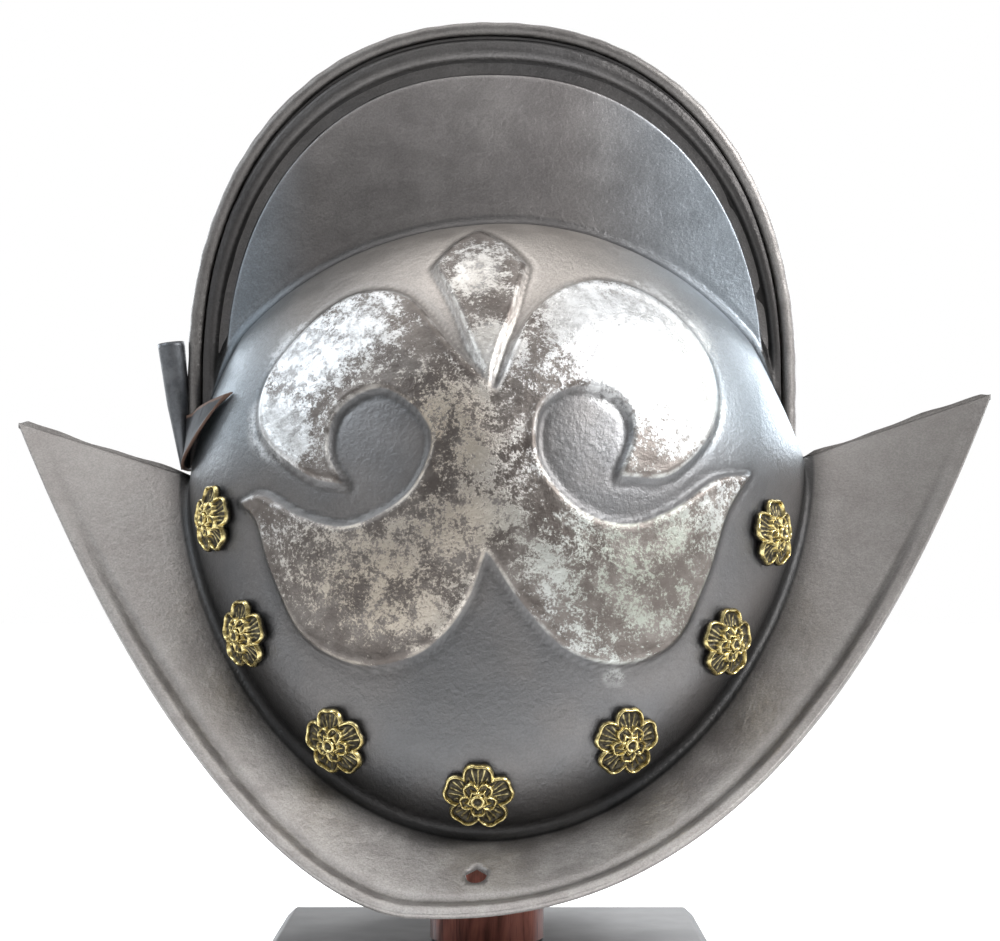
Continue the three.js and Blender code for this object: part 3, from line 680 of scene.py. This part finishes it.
# Front to back: angle round the bowl in degrees, and height above the brim junction.
ROSETTE_PLACES = [(33, 30), (47, 20), (68, 18.5), (93, 14), (118, 14.5), (139, 17), (150, 35)]
PETALS, PETAL_REACH, PETAL_HALF_WIDTH, PETAL_HALF_DEPTH = 5, 6.9, 5.2, 5.0
EYE_REACH, EYE_HALF_WIDTH, EYE_HALF_DEPTH = 3.7, 2.5, 2.6
ROSETTE_CROWN, ROSETTE_LIFT, HOLE_RADIUS = 4.3, 1.1, 1.4
SEARCH_FROM, SEARCH_TO, SEARCH_STEP = 12.5, 6.6, 0.05  # radii tried when the outline is looked for


def petal_measure(r, phi, reach, half_width, half_depth, turn, dent):
    """0 at the middle of the nearest petal, 1 on its outline. Also the place across and along it."""
    pitch = 2 * PI / PETALS
    local = (phi - turn + pitch / 2) % pitch - pitch / 2
    across, along = r * np.sin(local), r * np.cos(local) - reach
    along = along + dent * bump(across, 0, half_width * 0.35) * (along > 0)
    measure = ((np.abs(across) / half_width) ** 2.5 + (np.abs(along) / half_depth) ** 2.5) ** 0.4
    return measure, across, along


def rosette_edge(phi):
    """Radius of the outline, found by walking in from outside the petals."""
    radius = np.full(phi.shape, SEARCH_FROM)
    for _ in range(int((SEARCH_FROM - SEARCH_TO) / SEARCH_STEP) + 2):
        measure = petal_measure(radius, phi, PETAL_REACH, PETAL_HALF_WIDTH, PETAL_HALF_DEPTH, 0, 0.5)[0]
        radius = np.where((measure > 1.0) & (radius > SEARCH_TO), radius - SEARCH_STEP, radius)
    return radius


def rosette_height(r, phi):
    cone = mix(ROSETTE_CROWN - 0.6, ROSETTE_LIFT, smoothstep(1, 12, r))
    outer, across, along = petal_measure(r, phi, PETAL_REACH, PETAL_HALF_WIDTH, PETAL_HALF_DEPTH, 0, 0.5)
    rolled = (1.6 + 0.35 * np.sin(3 * phi + 1)) * bump(outer, 0.88, 0.11)
    fan = np.arctan2(across, along + PETAL_REACH - 2.0)
    veins = 0.45 * (0.5 + 0.5 * np.cos(fan * 22)) ** 2 * (1 - smoothstep(0.55, 0.75, outer))
    height = cone + rolled + veins - 0.5 * (1 - smoothstep(0.5, 0.85, outer))
    inner, across, along = petal_measure(r, phi, EYE_REACH, EYE_HALF_WIDTH, EYE_HALF_DEPTH, PI / PETALS, 0.2)
    cup = cone + 0.6 + 1.1 * bump(inner, 0.88, 0.15) - 0.4 * (1 - smoothstep(0.4, 0.8, inner))
    fan = np.arctan2(across, along + EYE_REACH)
    cup = cup + 0.2 * (0.5 + 0.5 * np.cos(fan * 18)) ** 2 * (1 - smoothstep(0.4, 0.7, inner))
    covered = 1 - smoothstep(0.98, 1.1, inner)
    raised = np.maximum(rolled / 1.3, 1.1 * bump(inner, 0.88, 0.15)) + 1.3 * veins
    return mix(height, np.maximum(height, cup), covered), raised


def place_on_bowl(angle_deg, height, side, spin=0.0):
    """Matrix that stands a piece made on +Z, with +Y as its top, on the bowl."""
    a = math.radians(angle_deg)
    t = 1 - height / (widest_height(a) - base_height(a))
    point, normal, _ = surface_frame(lower_bowl, a, t)
    point.y = side * (point.y + SEAM)
    normal.y *= side
    across = Vector((0, 0, 1)).cross(normal).normalized()
    up = normal.cross(across)
    turn = Matrix((across, up, normal)).transposed().to_4x4()
    return Matrix.Translation(point) @ turn @ Matrix.Rotation(spin, 4, "Z")


def placed(points, matrix):
    turn = np.array(matrix)
    return np.asarray(points) @ turn[:3, :3].T + turn[:3, 3]


def rosette(name, matrix, wobble):
    angles, rings = 160, 40
    phi = np.linspace(0, 2 * PI, angles, endpoint=False)[None, :]
    edge = rosette_edge(phi)
    share = np.linspace(0, 1, rings)[:, None]
    r = mix(HOLE_RADIUS, edge, share)
    height, raised = rosette_height(r, phi)
    height = height + 0.15 * np.sin(3 * phi + wobble) * smoothstep(3, 11, r)
    top = np.stack([r * np.sin(phi), r * np.cos(phi), height], -1)
    under_r = np.vstack([edge, mix(HOLE_RADIUS, edge, 0.5), np.full_like(edge, HOLE_RADIUS)])
    under = np.stack([under_r * np.sin(phi), under_r * np.cos(phi),
                      mix(ROSETTE_CROWN - 1.4, ROSETTE_LIFT - 0.5, smoothstep(1, 12, under_r))], -1)
    points = np.concatenate([top, under]).reshape(-1, 3)
    faces = grid_faces(rings + 3, angles, wrap=True)
    last = (rings + 2) * angles
    for j in range(angles):
        k = (j + 1) % angles
        faces.append((last + j, j, k, last + k))
    raised = np.concatenate([raised, np.zeros((3, angles))]).ravel()
    return new_piece(name, placed(points, matrix), faces, {"raised": raised})


def rivet(name, matrix):
    """A hollow-headed rivet through the rosette, peened inside the skull."""
    seat = ROSETTE_CROWN + 0.25
    outline_rz = [(0, -3.0), (1.3, -3.0), (2.1, -2.7), (2.2, -2.2), (1.1, -2.1), (1.1, seat),
                  (2.0, seat), (2.35, seat + 0.35), (2.35, seat + 1.2), (2.1, seat + 1.6),
                  (1.75, seat + 1.65), (1.45, seat + 1.4), (1.2, seat + 0.8), (0, seat + 0.6)]
    sides = 24
    phi = np.linspace(0, 2 * PI, sides, endpoint=False)
    rings = np.array(outline_rz)
    points = np.stack([rings[:, :1] * np.sin(phi), rings[:, :1] * np.cos(phi),
                       np.broadcast_to(rings[:, 1:], (len(rings), sides))], -1).reshape(-1, 3)
    raised = np.repeat([0.0] * 7 + [0.5, 0.9, 1.2, 1.2, 0.8, 0.1, 0.0], sides)
    faces = grid_faces(len(rings), sides, wrap=True)
    return new_piece(name, placed(points, matrix), faces, {"raised": raised})


def make_rosettes(material):
    for side_name, side in SIDES:
        for k, (angle, height) in enumerate(ROSETTE_PLACES, 1):
            wobble = 1.7 * k + side
            matrix = place_on_bowl(angle, height, side, 0.09 * math.sin(3.1 * k))
            node = f"rosette_{side_name}_{k}"
            finish_piece(rosette(f"{node}_stamping", matrix, wobble), material, "rosette_brass", node)
            node = f"rosette_rivet_{side_name}_{k}"
            finish_piece(rivet(f"{node}_head", matrix), material, "rosette_brass", node)


# ---------------------------------------------------------------- plume holder

MOUTH, NECK, POINT = (-120.3, 233.9, 4.85), (-117.4, 211, 4.1), (-115.4, 188.2, 1.2)
PLATE_HALF_WIDTH, PLATE_SHEET, PLATE_STAND_OFF = 42, 1.0, 1.3
PLATE_TOP, PLATE_TOP_RISE, PLATE_TOP_POWER = 207.5, 5.5, 1.5
PLATE_BOTTOM, PLATE_BOTTOM_RISE, PLATE_BOTTOM_POWER = 187.8, 24.3, 3.2
PLATE_CURL, PLATE_GAP = 1.6, 0.3
FOLD_X, FOLD_HALF_WIDTH = -114.9, 6
SLIT_Y, SLIT_Z = 27, 207
TUBE_WALL, TUBE_FLOOR = 0.9, 209
TUBE_SEAM = 0.35  # where the seam runs, as an angle from the tube's front


def bowl_back_x(y, z):
    low, high = np.full(np.shape(y), 0.01), np.full(np.shape(y), PI / 2)
    for _ in range(40):
        middle = (low + high) / 2
        a = PI - middle
        rise = (z - widest_height(a)) / (crown_height(a) - widest_height(a))
        inside = (y / (BOWL_HALF_WIDTH * np.sin(a))) ** 2 + rise**2 < 1
        low, high = np.where(inside, low, middle), np.where(inside, middle, high)
    return bowl_x(PI - low)


def plume_plate():
    """The shield-shaped plate that wraps the back of the bowl and folds over the comb roll."""
    across, down = 96, 20
    share = np.linspace(-1, 1, across + 1)[:, None]
    lower = np.linspace(0, 1, down + 1)[None, :]
    top = PLATE_TOP + PLATE_TOP_RISE * np.abs(share) ** PLATE_TOP_POWER
    bottom = PLATE_BOTTOM + PLATE_BOTTOM_RISE * np.abs(share) ** PLATE_BOTTOM_POWER
    z = mix(top, bottom, lower)
    y = PLATE_HALF_WIDTH * share + 0 * z
    curl = PLATE_CURL * smoothstep(0.45, 1.0, lower) * smoothstep(0.1, 0.6, np.abs(share))
    outside = bowl_back_x(y, z) - PLATE_STAND_OFF - PLATE_SHEET - PLATE_GAP - curl
    front = np.stack([mix(outside, FOLD_X, bump(y, 0, FOLD_HALF_WIDTH)), y, z], -1)
    back = front + (PLATE_SHEET, 0, 0)
    count = front[..., 0].size
    faces = grid_faces(across + 1, down + 1) + grid_faces(across + 1, down + 1, count)
    width = down + 1
    for i in range(across):
        for j in (0, down):
            a = i * width + j
            faces.append((a, a + width, a + width + count, a + count))
    for j in range(down):
        for i in (0, across):
            a = i * width + j
            faces.append((a, a + 1, a + 1 + count, a + count))
    points = np.concatenate([front.reshape(-1, 3), back.reshape(-1, 3)])
    from_side = PLATE_HALF_WIDTH * (1 - np.abs(share))
    edge = np.minimum(np.minimum(np.abs(z - top), np.abs(z - bottom)), from_side)
    rust = np.tile(bump(edge, 0, 1.5).ravel(), 2)
    # Painted shade darkens the fold over the comb, which faces away from the light, and a painted shadow
    # marks the slit in each wing.
    painted_slit_shadow = 0.32 * bump(np.abs(y), SLIT_Y, 0.7) * bump(z, SLIT_Z, 2.2)
    tone = np.tile((mix(0.1, 0.35, smoothstep(12, 22, np.abs(y))) - painted_slit_shadow).ravel(), 2)
    return new_piece("plume_plate", points, faces, {"rust": rust, "tone": tone})


def plume_tube():
    """A tapered tube of thin sheet, open at its mouth, with a butted seam towards the comb."""
    sides = 48
    phi = np.linspace(0, 2 * PI, sides, endpoint=False)
    stations = []
    for k in np.linspace(0, 1, 30):
        ends = (POINT, NECK, k / 0.5) if k < 0.5 else (NECK, MOUTH, (k - 0.5) / 0.5)
        stations.append([mix(ends[0][m], ends[1][m], ends[2]) for m in range(3)])
    inside = [(x, z, r - TUBE_WALL) for x, z, r in reversed(stations) if z > TUBE_FLOOR]
    tilt = (MOUTH[0] - NECK[0]) / (MOUTH[1] - NECK[1])
    rings = []
    for x, z, r in stations + inside:
        seam = 0.25 * bump((phi - TUBE_SEAM + PI) % (2 * PI) - PI, 0, 0.06)
        radius = r - seam
        rings.append(np.stack([x + radius * np.cos(phi), radius * np.sin(phi),
                               z - tilt * radius * np.cos(phi) * smoothstep(205, 215, z)], -1))
    faces = grid_faces(len(rings), sides, wrap=True)
    faces.append(tuple(range(sides)))
    faces.append(tuple(range((len(rings) - 1) * sides, len(rings) * sides)))
    heights = np.array([z for _, z, _ in stations + inside])
    rust = 0.7 * bump(phi, TUBE_SEAM, 0.5)[None, :] * smoothstep(236, 205, heights)[:, None]
    rust = rust + 0.5 * bump(heights, MOUTH[1], 1.2)[:, None]
    tone = np.full(rust.size, 0.75)
    return new_piece("plume_tube", np.concatenate(rings), faces, {"rust": rust.ravel(), "tone": tone})


# ---------------------------------------------------------------- materials


class Nodes:
    """Short ways to add shader nodes to one material."""

    def __init__(self, name):
        self.material = bpy.data.materials.new(name)
        self.material.use_nodes = True
        self.tree = self.material.node_tree
        self.shader = self.tree.nodes["Principled BSDF"]
        self.place = self.add("ShaderNodeTexCoord").outputs["Object"]

    def add(self, kind, **values):
        node = self.tree.nodes.new(kind)
        for key, value in values.items():
            setattr(node, key, value)
        return node

    def link(self, source, target):
        if isinstance(source, (int, float, tuple)):
            target.default_value = source
        else:
            self.tree.links.new(source, target)

    def attribute(self, name):
        return self.add("ShaderNodeAttribute", attribute_name=name).outputs["Fac"]

    def noise(self, size_mm, detail=4.0, roughness=0.6, distortion=0.0, stretch=(1, 1, 1)):
        mapping = self.add("ShaderNodeMapping")
        mapping.inputs["Scale"].default_value = stretch
        self.link(self.place, mapping.inputs["Vector"])
        node = self.add("ShaderNodeTexNoise")
        self.link(mapping.outputs["Vector"], node.inputs["Vector"])
        node.inputs["Scale"].default_value = 1 / (size_mm * MM)
        node.inputs["Detail"].default_value = detail
        node.inputs["Roughness"].default_value = roughness
        node.inputs["Distortion"].default_value = distortion
        return node.outputs["Fac"]

    def math(self, operation, a, b=0.0, clamp=False):
        node = self.add("ShaderNodeMath", operation=operation, use_clamp=clamp)
        self.link(a, node.inputs[0])
        self.link(b, node.inputs[1])
        return node.outputs[0]

    def remap(self, value, low, high, to_low=0.0, to_high=1.0):
        node = self.add("ShaderNodeMapRange", interpolation_type="SMOOTHSTEP")
        self.link(value, node.inputs["Value"])
        for key, number in (("From Min", low), ("From Max", high), ("To Min", to_low), ("To Max", to_high)):
            node.inputs[key].default_value = number
        return node.outputs["Result"]

    def blend(self, factor, a, b, how="MIX"):
        node = self.add("ShaderNodeMix", data_type="RGBA", blend_type=how)
        self.link(factor, node.inputs["Factor"])
        self.link(a, node.inputs[6])
        self.link(b, node.inputs[7])
        return node.outputs[2]

    def bumps(self, *layers):
        """Stacked bump layers of (height, distance in millimetres, strength)."""
        normal = None
        for height, distance_mm, strength in layers:
            node = self.add("ShaderNodeBump")
            node.inputs["Distance"].default_value = distance_mm * MM
            node.inputs["Strength"].default_value = strength
            self.link(height, node.inputs["Height"])
            if normal is not None:
                self.link(normal, node.inputs["Normal"])
            normal = node.outputs["Normal"]
        self.link(normal, self.shader.inputs["Normal"])

    def finish(self, color, roughness, metallic, **fixed):
        self.link(color, self.shader.inputs["Base Color"])
        self.link(roughness, self.shader.inputs["Roughness"])
        self.link(metallic, self.shader.inputs["Metallic"])
        for key, value in fixed.items():
            self.shader.inputs[key.replace("_", " ")].default_value = value
        return self.material


def rgb(r, g, b):
    return (r, g, b, 1.0)


def skull_material():
    n = Nodes("browned_steel")
    lily, shade, wear_and_sheen = n.attribute("lily"), n.attribute("shade"), n.attribute("wear_and_sheen")
    brim, comb, painted_crown_sheen = n.attribute("brim"), n.attribute("comb"), n.attribute("painted_crown_sheen")
    warm, greenish, painted_blue_reflection = n.attribute("warm"), n.attribute("greenish"), n.attribute("painted_blue_reflection")
    broad, mottle, clumps = n.noise(46, 3), n.noise(11, 6, 0.65), n.noise(4, 5, 0.7)
    speckle, grain = n.noise(0.9, 4, 0.75), n.noise(0.7, 3, 0.7)
    bowl = n.blend(n.remap(broad, 0.35, 0.65), rgb(0.15, 0.15, 0.153), rgb(0.175, 0.168, 0.165))
    # Painted sheen lightens the upper bowl, and a painted blue reflection cools its ends.
    bowl = n.blend(painted_crown_sheen, bowl, rgb(0.43, 0.395, 0.365))
    bowl = n.blend(painted_blue_reflection, bowl, rgb(0.25, 0.28, 0.305))
    comb_tone = n.blend(n.remap(broad, 0.3, 0.7), rgb(0.25, 0.234, 0.23), rgb(0.31, 0.293, 0.285))
    # A painted blue reflection lies on the comb's panel.
    comb_tone = n.blend(painted_blue_reflection, comb_tone, rgb(0.36, 0.405, 0.45))
    brim_tone = n.blend(n.remap(mottle, 0.3, 0.7), rgb(0.36, 0.336, 0.322), rgb(0.46, 0.437, 0.418))
    ground = n.blend(brim, n.blend(comb, bowl, comb_tone), brim_tone)
    ground = n.blend(n.remap(grain, 0.38, 0.62, 0.0, 0.25), ground, rgb(0.1, 0.095, 0.095))
    patina = n.blend(n.remap(mottle, 0.35, 0.65), rgb(0.13, 0.113, 0.103), rgb(0.21, 0.19, 0.176))
    # Where the lily is worn and carries painted highlights, its patina is lighter and more of it is bare.
    patina = n.blend(n.remap(wear_and_sheen, 0.6, 0.9, 0.0, 0.75), patina, rgb(0.44, 0.44, 0.44))
    silver = n.blend(n.remap(clumps, 0.35, 0.62), rgb(0.4, 0.405, 0.41), rgb(0.68, 0.69, 0.7))
    silver = n.blend(warm, silver, rgb(0.46, 0.4, 0.325))
    silver = n.blend(greenish, silver, rgb(0.3, 0.32, 0.275))
    flecks = n.math("ADD", n.math("MULTIPLY", speckle, 0.4), n.math("MULTIPLY", mottle, 0.26))
    flecks = n.math("ADD", flecks, n.math("MULTIPLY", clumps, 0.34))
    threshold = n.math("SUBTRACT", 0.61, n.math("MULTIPLY", wear_and_sheen, 0.19))
    bare = n.remap(n.math("SUBTRACT", flecks, threshold), -0.04, 0.04)
    inside = n.remap(lily, 0.0, 0.8)
    spill = n.math("MULTIPLY", n.remap(wear_and_sheen, 0.55, 0.75, 0.0, 0.5), n.remap(lily, -9, -3))
    bare = n.math("MULTIPLY", bare, n.math("MAXIMUM", inside, spill))
    worn_edge = n.remap(n.math("ABSOLUTE", n.math("SUBTRACT", lily, 0.7)), 0.9, 0.2)
    worn_edge = n.math("MULTIPLY", worn_edge, n.remap(mottle, 0.42, 0.6))
    bare = n.math("MAXIMUM", bare, n.math("MULTIPLY", worn_edge, 0.65))
    color = n.blend(bare, n.blend(inside, ground, patina), silver)
    shade_color = n.add("ShaderNodeCombineColor")
    for channel in ("Red", "Green", "Blue"):
        n.link(shade, shade_color.inputs[channel])
    color = n.blend(1.0, color, shade_color.outputs["Color"], "MULTIPLY")
    rough = n.math("ADD", n.remap(mottle, 0.3, 0.7, 0.36, 0.46), n.math("MULTIPLY", brim, 0.08))
    rough = n.math("SUBTRACT", rough, n.math("MULTIPLY", bare, 0.06))
    peel = n.noise(2.2, 3, 0.6)
    n.bumps((n.noise(14, 2), 0.5, 0.25), (peel, 0.3, 0.75), (speckle, 0.16, 0.8),
            (n.math("MULTIPLY", bare, inside), 0.05, 0.5))
    return n.finish(color, rough, 0.92)


def brass_material():
    n = Nodes("rubbed_brass")
    raised = n.attribute("raised")
    stain = n.noise(1.5, 4, 0.6)
    high = n.remap(n.math("ADD", raised, n.math("MULTIPLY", stain, 0.5)), 0.45, 1.1)
    bright = n.blend(n.remap(stain, 0.35, 0.65), rgb(0.33, 0.25, 0.09), rgb(0.8, 0.68, 0.33))
    low = n.blend(n.remap(stain, 0.35, 0.7), rgb(0.04, 0.036, 0.03), rgb(0.1, 0.088, 0.062))
    n.bumps((stain, 0.05, 0.5))
    return n.finish(n.blend(high, low, bright), n.remap(high, 0.0, 1.0, 0.5, 0.26), 0.95)


def plume_material():
    n = Nodes("dull_sheet_steel")
    rust = n.attribute("rust")
    mottle, grain = n.noise(5, 5, 0.65), n.noise(0.7, 3)
    steel = n.blend(n.remap(mottle, 0.3, 0.7), rgb(0.1, 0.105, 0.112), rgb(0.18, 0.187, 0.2))
    tone = n.attribute("tone")
    # The tone darkens the steel; on the plate it carries the painted shade of the fold.
    steel = n.blend(tone, rgb(0.02, 0.02, 0.022), steel)
    orange = n.remap(n.math("MULTIPLY", rust, n.math("ADD", 0.4, mottle)), 0.35, 0.7)
    color = n.blend(orange, steel, rgb(0.12, 0.07, 0.05))
    n.bumps((grain, 0.06, 0.5), (mottle, 0.25, 0.4))
    return n.finish(color, n.remap(tone, 0.3, 0.75, 0.75, 0.45), n.remap(orange, 0.0, 1.0, 0.9, 0.3))


def base_material():
    n = Nodes("satin_grey_base")
    cloud, grain = n.noise(30, 3), n.noise(0.9, 3)
    color = n.blend(n.remap(cloud, 0.35, 0.65), rgb(0.022, 0.023, 0.026), rgb(0.034, 0.035, 0.038))
    n.bumps((grain, 0.02, 0.35))
    return n.finish(color, n.remap(cloud, 0.3, 0.7, 0.38, 0.46), 0.0, Specular_IOR_Level=0.36)


def post_material():
    n = Nodes("polished_mahogany")
    figure = n.noise(7, 5, 0.6, 1.4, (1, 1, 0.12))
    pores = n.noise(0.9, 3, 0.6, 0.2, (1, 1, 0.06))
    color = n.blend(n.remap(figure, 0.32, 0.68), rgb(0.14, 0.05, 0.038), rgb(0.42, 0.15, 0.11))
    color = n.blend(n.remap(pores, 0.5, 0.7, 0.0, 0.5), color, rgb(0.02, 0.006, 0.004))
    n.bumps((pores, 0.03, 0.25))
    return n.finish(color, 0.35, 0.0, Coat_Weight=0.8, Coat_Roughness=0.08)


def floor_material():
    n = Nodes("pale_floor")
    color = n.blend(n.remap(n.noise(400, 2), 0.3, 0.7), rgb(0.88, 0.88, 0.88), rgb(0.92, 0.92, 0.92))
    n.shader.inputs["Emission Color"].default_value = rgb(1, 1, 1)
    return n.finish(color, 0.7, 0.0, Emission_Strength=0.42)


# ---------------------------------------------------------------- stand


BASE_BEVEL, BASE_SOFTENING = 4, 0.7
POST_RADIUS, PAD_RADIUS, PAD_BASE, PAD_RIM = 20.4, 33, 238, 252
DOME_STEPS = 12


def stand_base(material):
    """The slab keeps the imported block's size, with its arrises softened."""
    low, high = (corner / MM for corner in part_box("stand_base"))
    points = []
    for inset, z in ((0, low.z), (0, high.z - BASE_BEVEL), (BASE_BEVEL, high.z)):
        left, right, near, far = low.x + inset, high.x - inset, low.y + inset, high.y - inset
        points += [(left, near, z), (right, near, z), (right, far, z), (left, far, z)]
    faces = grid_faces(3, 4, wrap=True) + [(3, 2, 1, 0), (8, 9, 10, 11)]
    piece = new_piece("stand_slab", points, faces)
    soft = piece.modifiers.new("soft_arrises", "BEVEL")
    soft.width, soft.segments, soft.limit_method = BASE_SOFTENING * MM, 3, "ANGLE"
    soft.angle_limit = math.radians(20)
    piece.modifiers.new("even_light", "WEIGHTED_NORMAL")
    return finish_piece(piece, material, "stand_base_paint", "stand_base")


def stand_post(material):
    """A turned post with a domed head under the crown."""
    low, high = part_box("stand_post")
    centre = (low.x + high.x) / 2 / MM
    floor_z, top_z = low.z / MM, high.z / MM
    rings = [(0, floor_z), (POST_RADIUS - 0.5, floor_z), (POST_RADIUS, floor_z + 0.6),
             (POST_RADIUS, PAD_BASE - 2), (POST_RADIUS + 0.2, PAD_BASE), (PAD_RADIUS - 0.6, PAD_RIM - 4.5),
             (PAD_RADIUS, PAD_RIM - 3), (PAD_RADIUS, PAD_RIM)]
    for k in range(1, DOME_STEPS + 1):
        turn = k / DOME_STEPS * PI / 2
        radius = PAD_RADIUS * math.cos(turn) if k < DOME_STEPS else 0
        rings.append((radius, PAD_RIM + (top_z - PAD_RIM) * math.sin(turn)))
    rings = np.array(rings)
    sides = 96
    phi = np.linspace(0, 2 * PI, sides, endpoint=False)
    points = np.stack([centre + rings[:, :1] * np.cos(phi), rings[:, :1] * np.sin(phi),
                       np.broadcast_to(rings[:, 1:], (len(rings), sides))], -1).reshape(-1, 3)
    piece = new_piece("stand_column", points, grid_faces(len(rings), sides, wrap=True))
    return finish_piece(piece, material, "stand_post_wood", "stand_post")


# ---------------------------------------------------------------- scene


LENS, CAMERA_SHIFT, CAMERA_TILT = 85, 0.05, 1.24
CAMERA_PLACE = (-1.7 * MM, -850 * MM, 151.5 * MM)

# Name, place, diameter in metres, power in watts and colour. All are aimed at the helmet's middle.
HELMET_MIDDLE = (0, 0, 0.18)
WHITE, PALE_BLUE = (1, 1, 1), (0.85, 0.93, 1.0)
SOFTBOXES = [
    ("key", (1.0, -0.55, 1.05), 0.6, 19, WHITE),
    ("fill", (-1.05, -0.3, 1.15), 0.7, 7, PALE_BLUE),
    ("top", (-0.2, 0.0, 1.5), 0.9, 5, WHITE),
    ("back", (0.35, 1.25, 0.95), 1.2, 15, (0.96, 0.98, 1.0)),
    ("back_right", (0.95, 0.95, 0.6), 0.6, 6, PALE_BLUE),
    ("back_left", (-0.95, 1.0, 0.6), 0.7, 7, PALE_BLUE),
]


def make_helmet():
    steel = skull_material()
    for side_name, side in SIDES:
        finish_piece(skull_half(side_name, side), steel, "skull_steel", f"skull_{side_name}")
    finish_piece(comb_roll(), steel, "skull_steel", "skull_left")
    make_rosettes(brass_material())
    sheet = plume_material()
    finish_piece(plume_plate(), sheet, "plume_steel", "plume_holder")
    finish_piece(plume_tube(), sheet, "plume_steel", "plume_holder")


def make_floor():
    half = 6.0
    corners = [(-half, -half, 0), (half, -half, 0), (half, half, 0), (-half, half, 0)]
    mesh = bpy.data.meshes.new("floor")
    mesh.from_pydata(corners, [], [(0, 1, 2, 3)])
    floor = bpy.data.objects.new("floor", mesh)
    bpy.context.scene.collection.objects.link(floor)
    floor.data.materials.append(floor_material())


def area_light(name, place, size, power, color):
    data = bpy.data.lights.new(name, "AREA")
    data.shape, data.size, data.energy, data.color = "DISK", size, power, color
    light = bpy.data.objects.new(name, data)
    light.location = place
    bpy.context.scene.collection.objects.link(light)
    direction = Vector(HELMET_MIDDLE) - light.location
    light.rotation_euler = direction.to_track_quat("-Z", "Y").to_euler()


def make_world():
    """A white studio: brightest behind the helmet, dimmer on the viewer's side, and plain white where the
    camera sees it.
    """
    world = bpy.data.worlds.new("studio")
    world.use_nodes = True
    tree = world.node_tree
    backdrop = tree.nodes["Background"]
    backdrop.inputs["Color"].default_value = (1, 1, 1, 1)
    place = tree.nodes.new("ShaderNodeTexCoord")
    split = tree.nodes.new("ShaderNodeSeparateXYZ")
    tree.links.new(place.outputs["Generated"], split.inputs["Vector"])
    depth = tree.nodes.new("ShaderNodeMapRange")
    for key, number in (("From Min", -0.9), ("From Max", 0.8), ("To Min", 0.27), ("To Max", 1.0)):
        depth.inputs[key].default_value = number
    tree.links.new(split.outputs["Y"], depth.inputs["Value"])
    sight = tree.nodes.new("ShaderNodeLightPath")
    choose = tree.nodes.new("ShaderNodeMix")
    tree.links.new(sight.outputs["Is Camera Ray"], choose.inputs["Factor"])
    tree.links.new(depth.outputs["Result"], choose.inputs[2])
    choose.inputs[3].default_value = 1.0
    tree.links.new(choose.outputs[0], backdrop.inputs["Strength"])
    bpy.context.scene.world = world
    bpy.context.scene.view_settings.view_transform = "Standard"


def make_lights():
    for name, place, size, power, color in SOFTBOXES:
        area_light(f"{name}_softbox", place, size, power, color)


def make_camera():
    data = bpy.data.cameras.new("camera")
    data.sensor_width = 36
    data.lens = LENS
    data.shift_y = CAMERA_SHIFT
    camera = bpy.data.objects.new("camera", data)
    camera.location = CAMERA_PLACE
    camera.rotation_euler = (math.radians(90 + CAMERA_TILT), 0, 0)
    bpy.context.scene.collection.objects.link(camera)
    bpy.context.scene.camera = camera


make_camera()
make_world()
make_lights()
make_floor()
make_helmet()
stand_base(base_material())
stand_post(post_material())
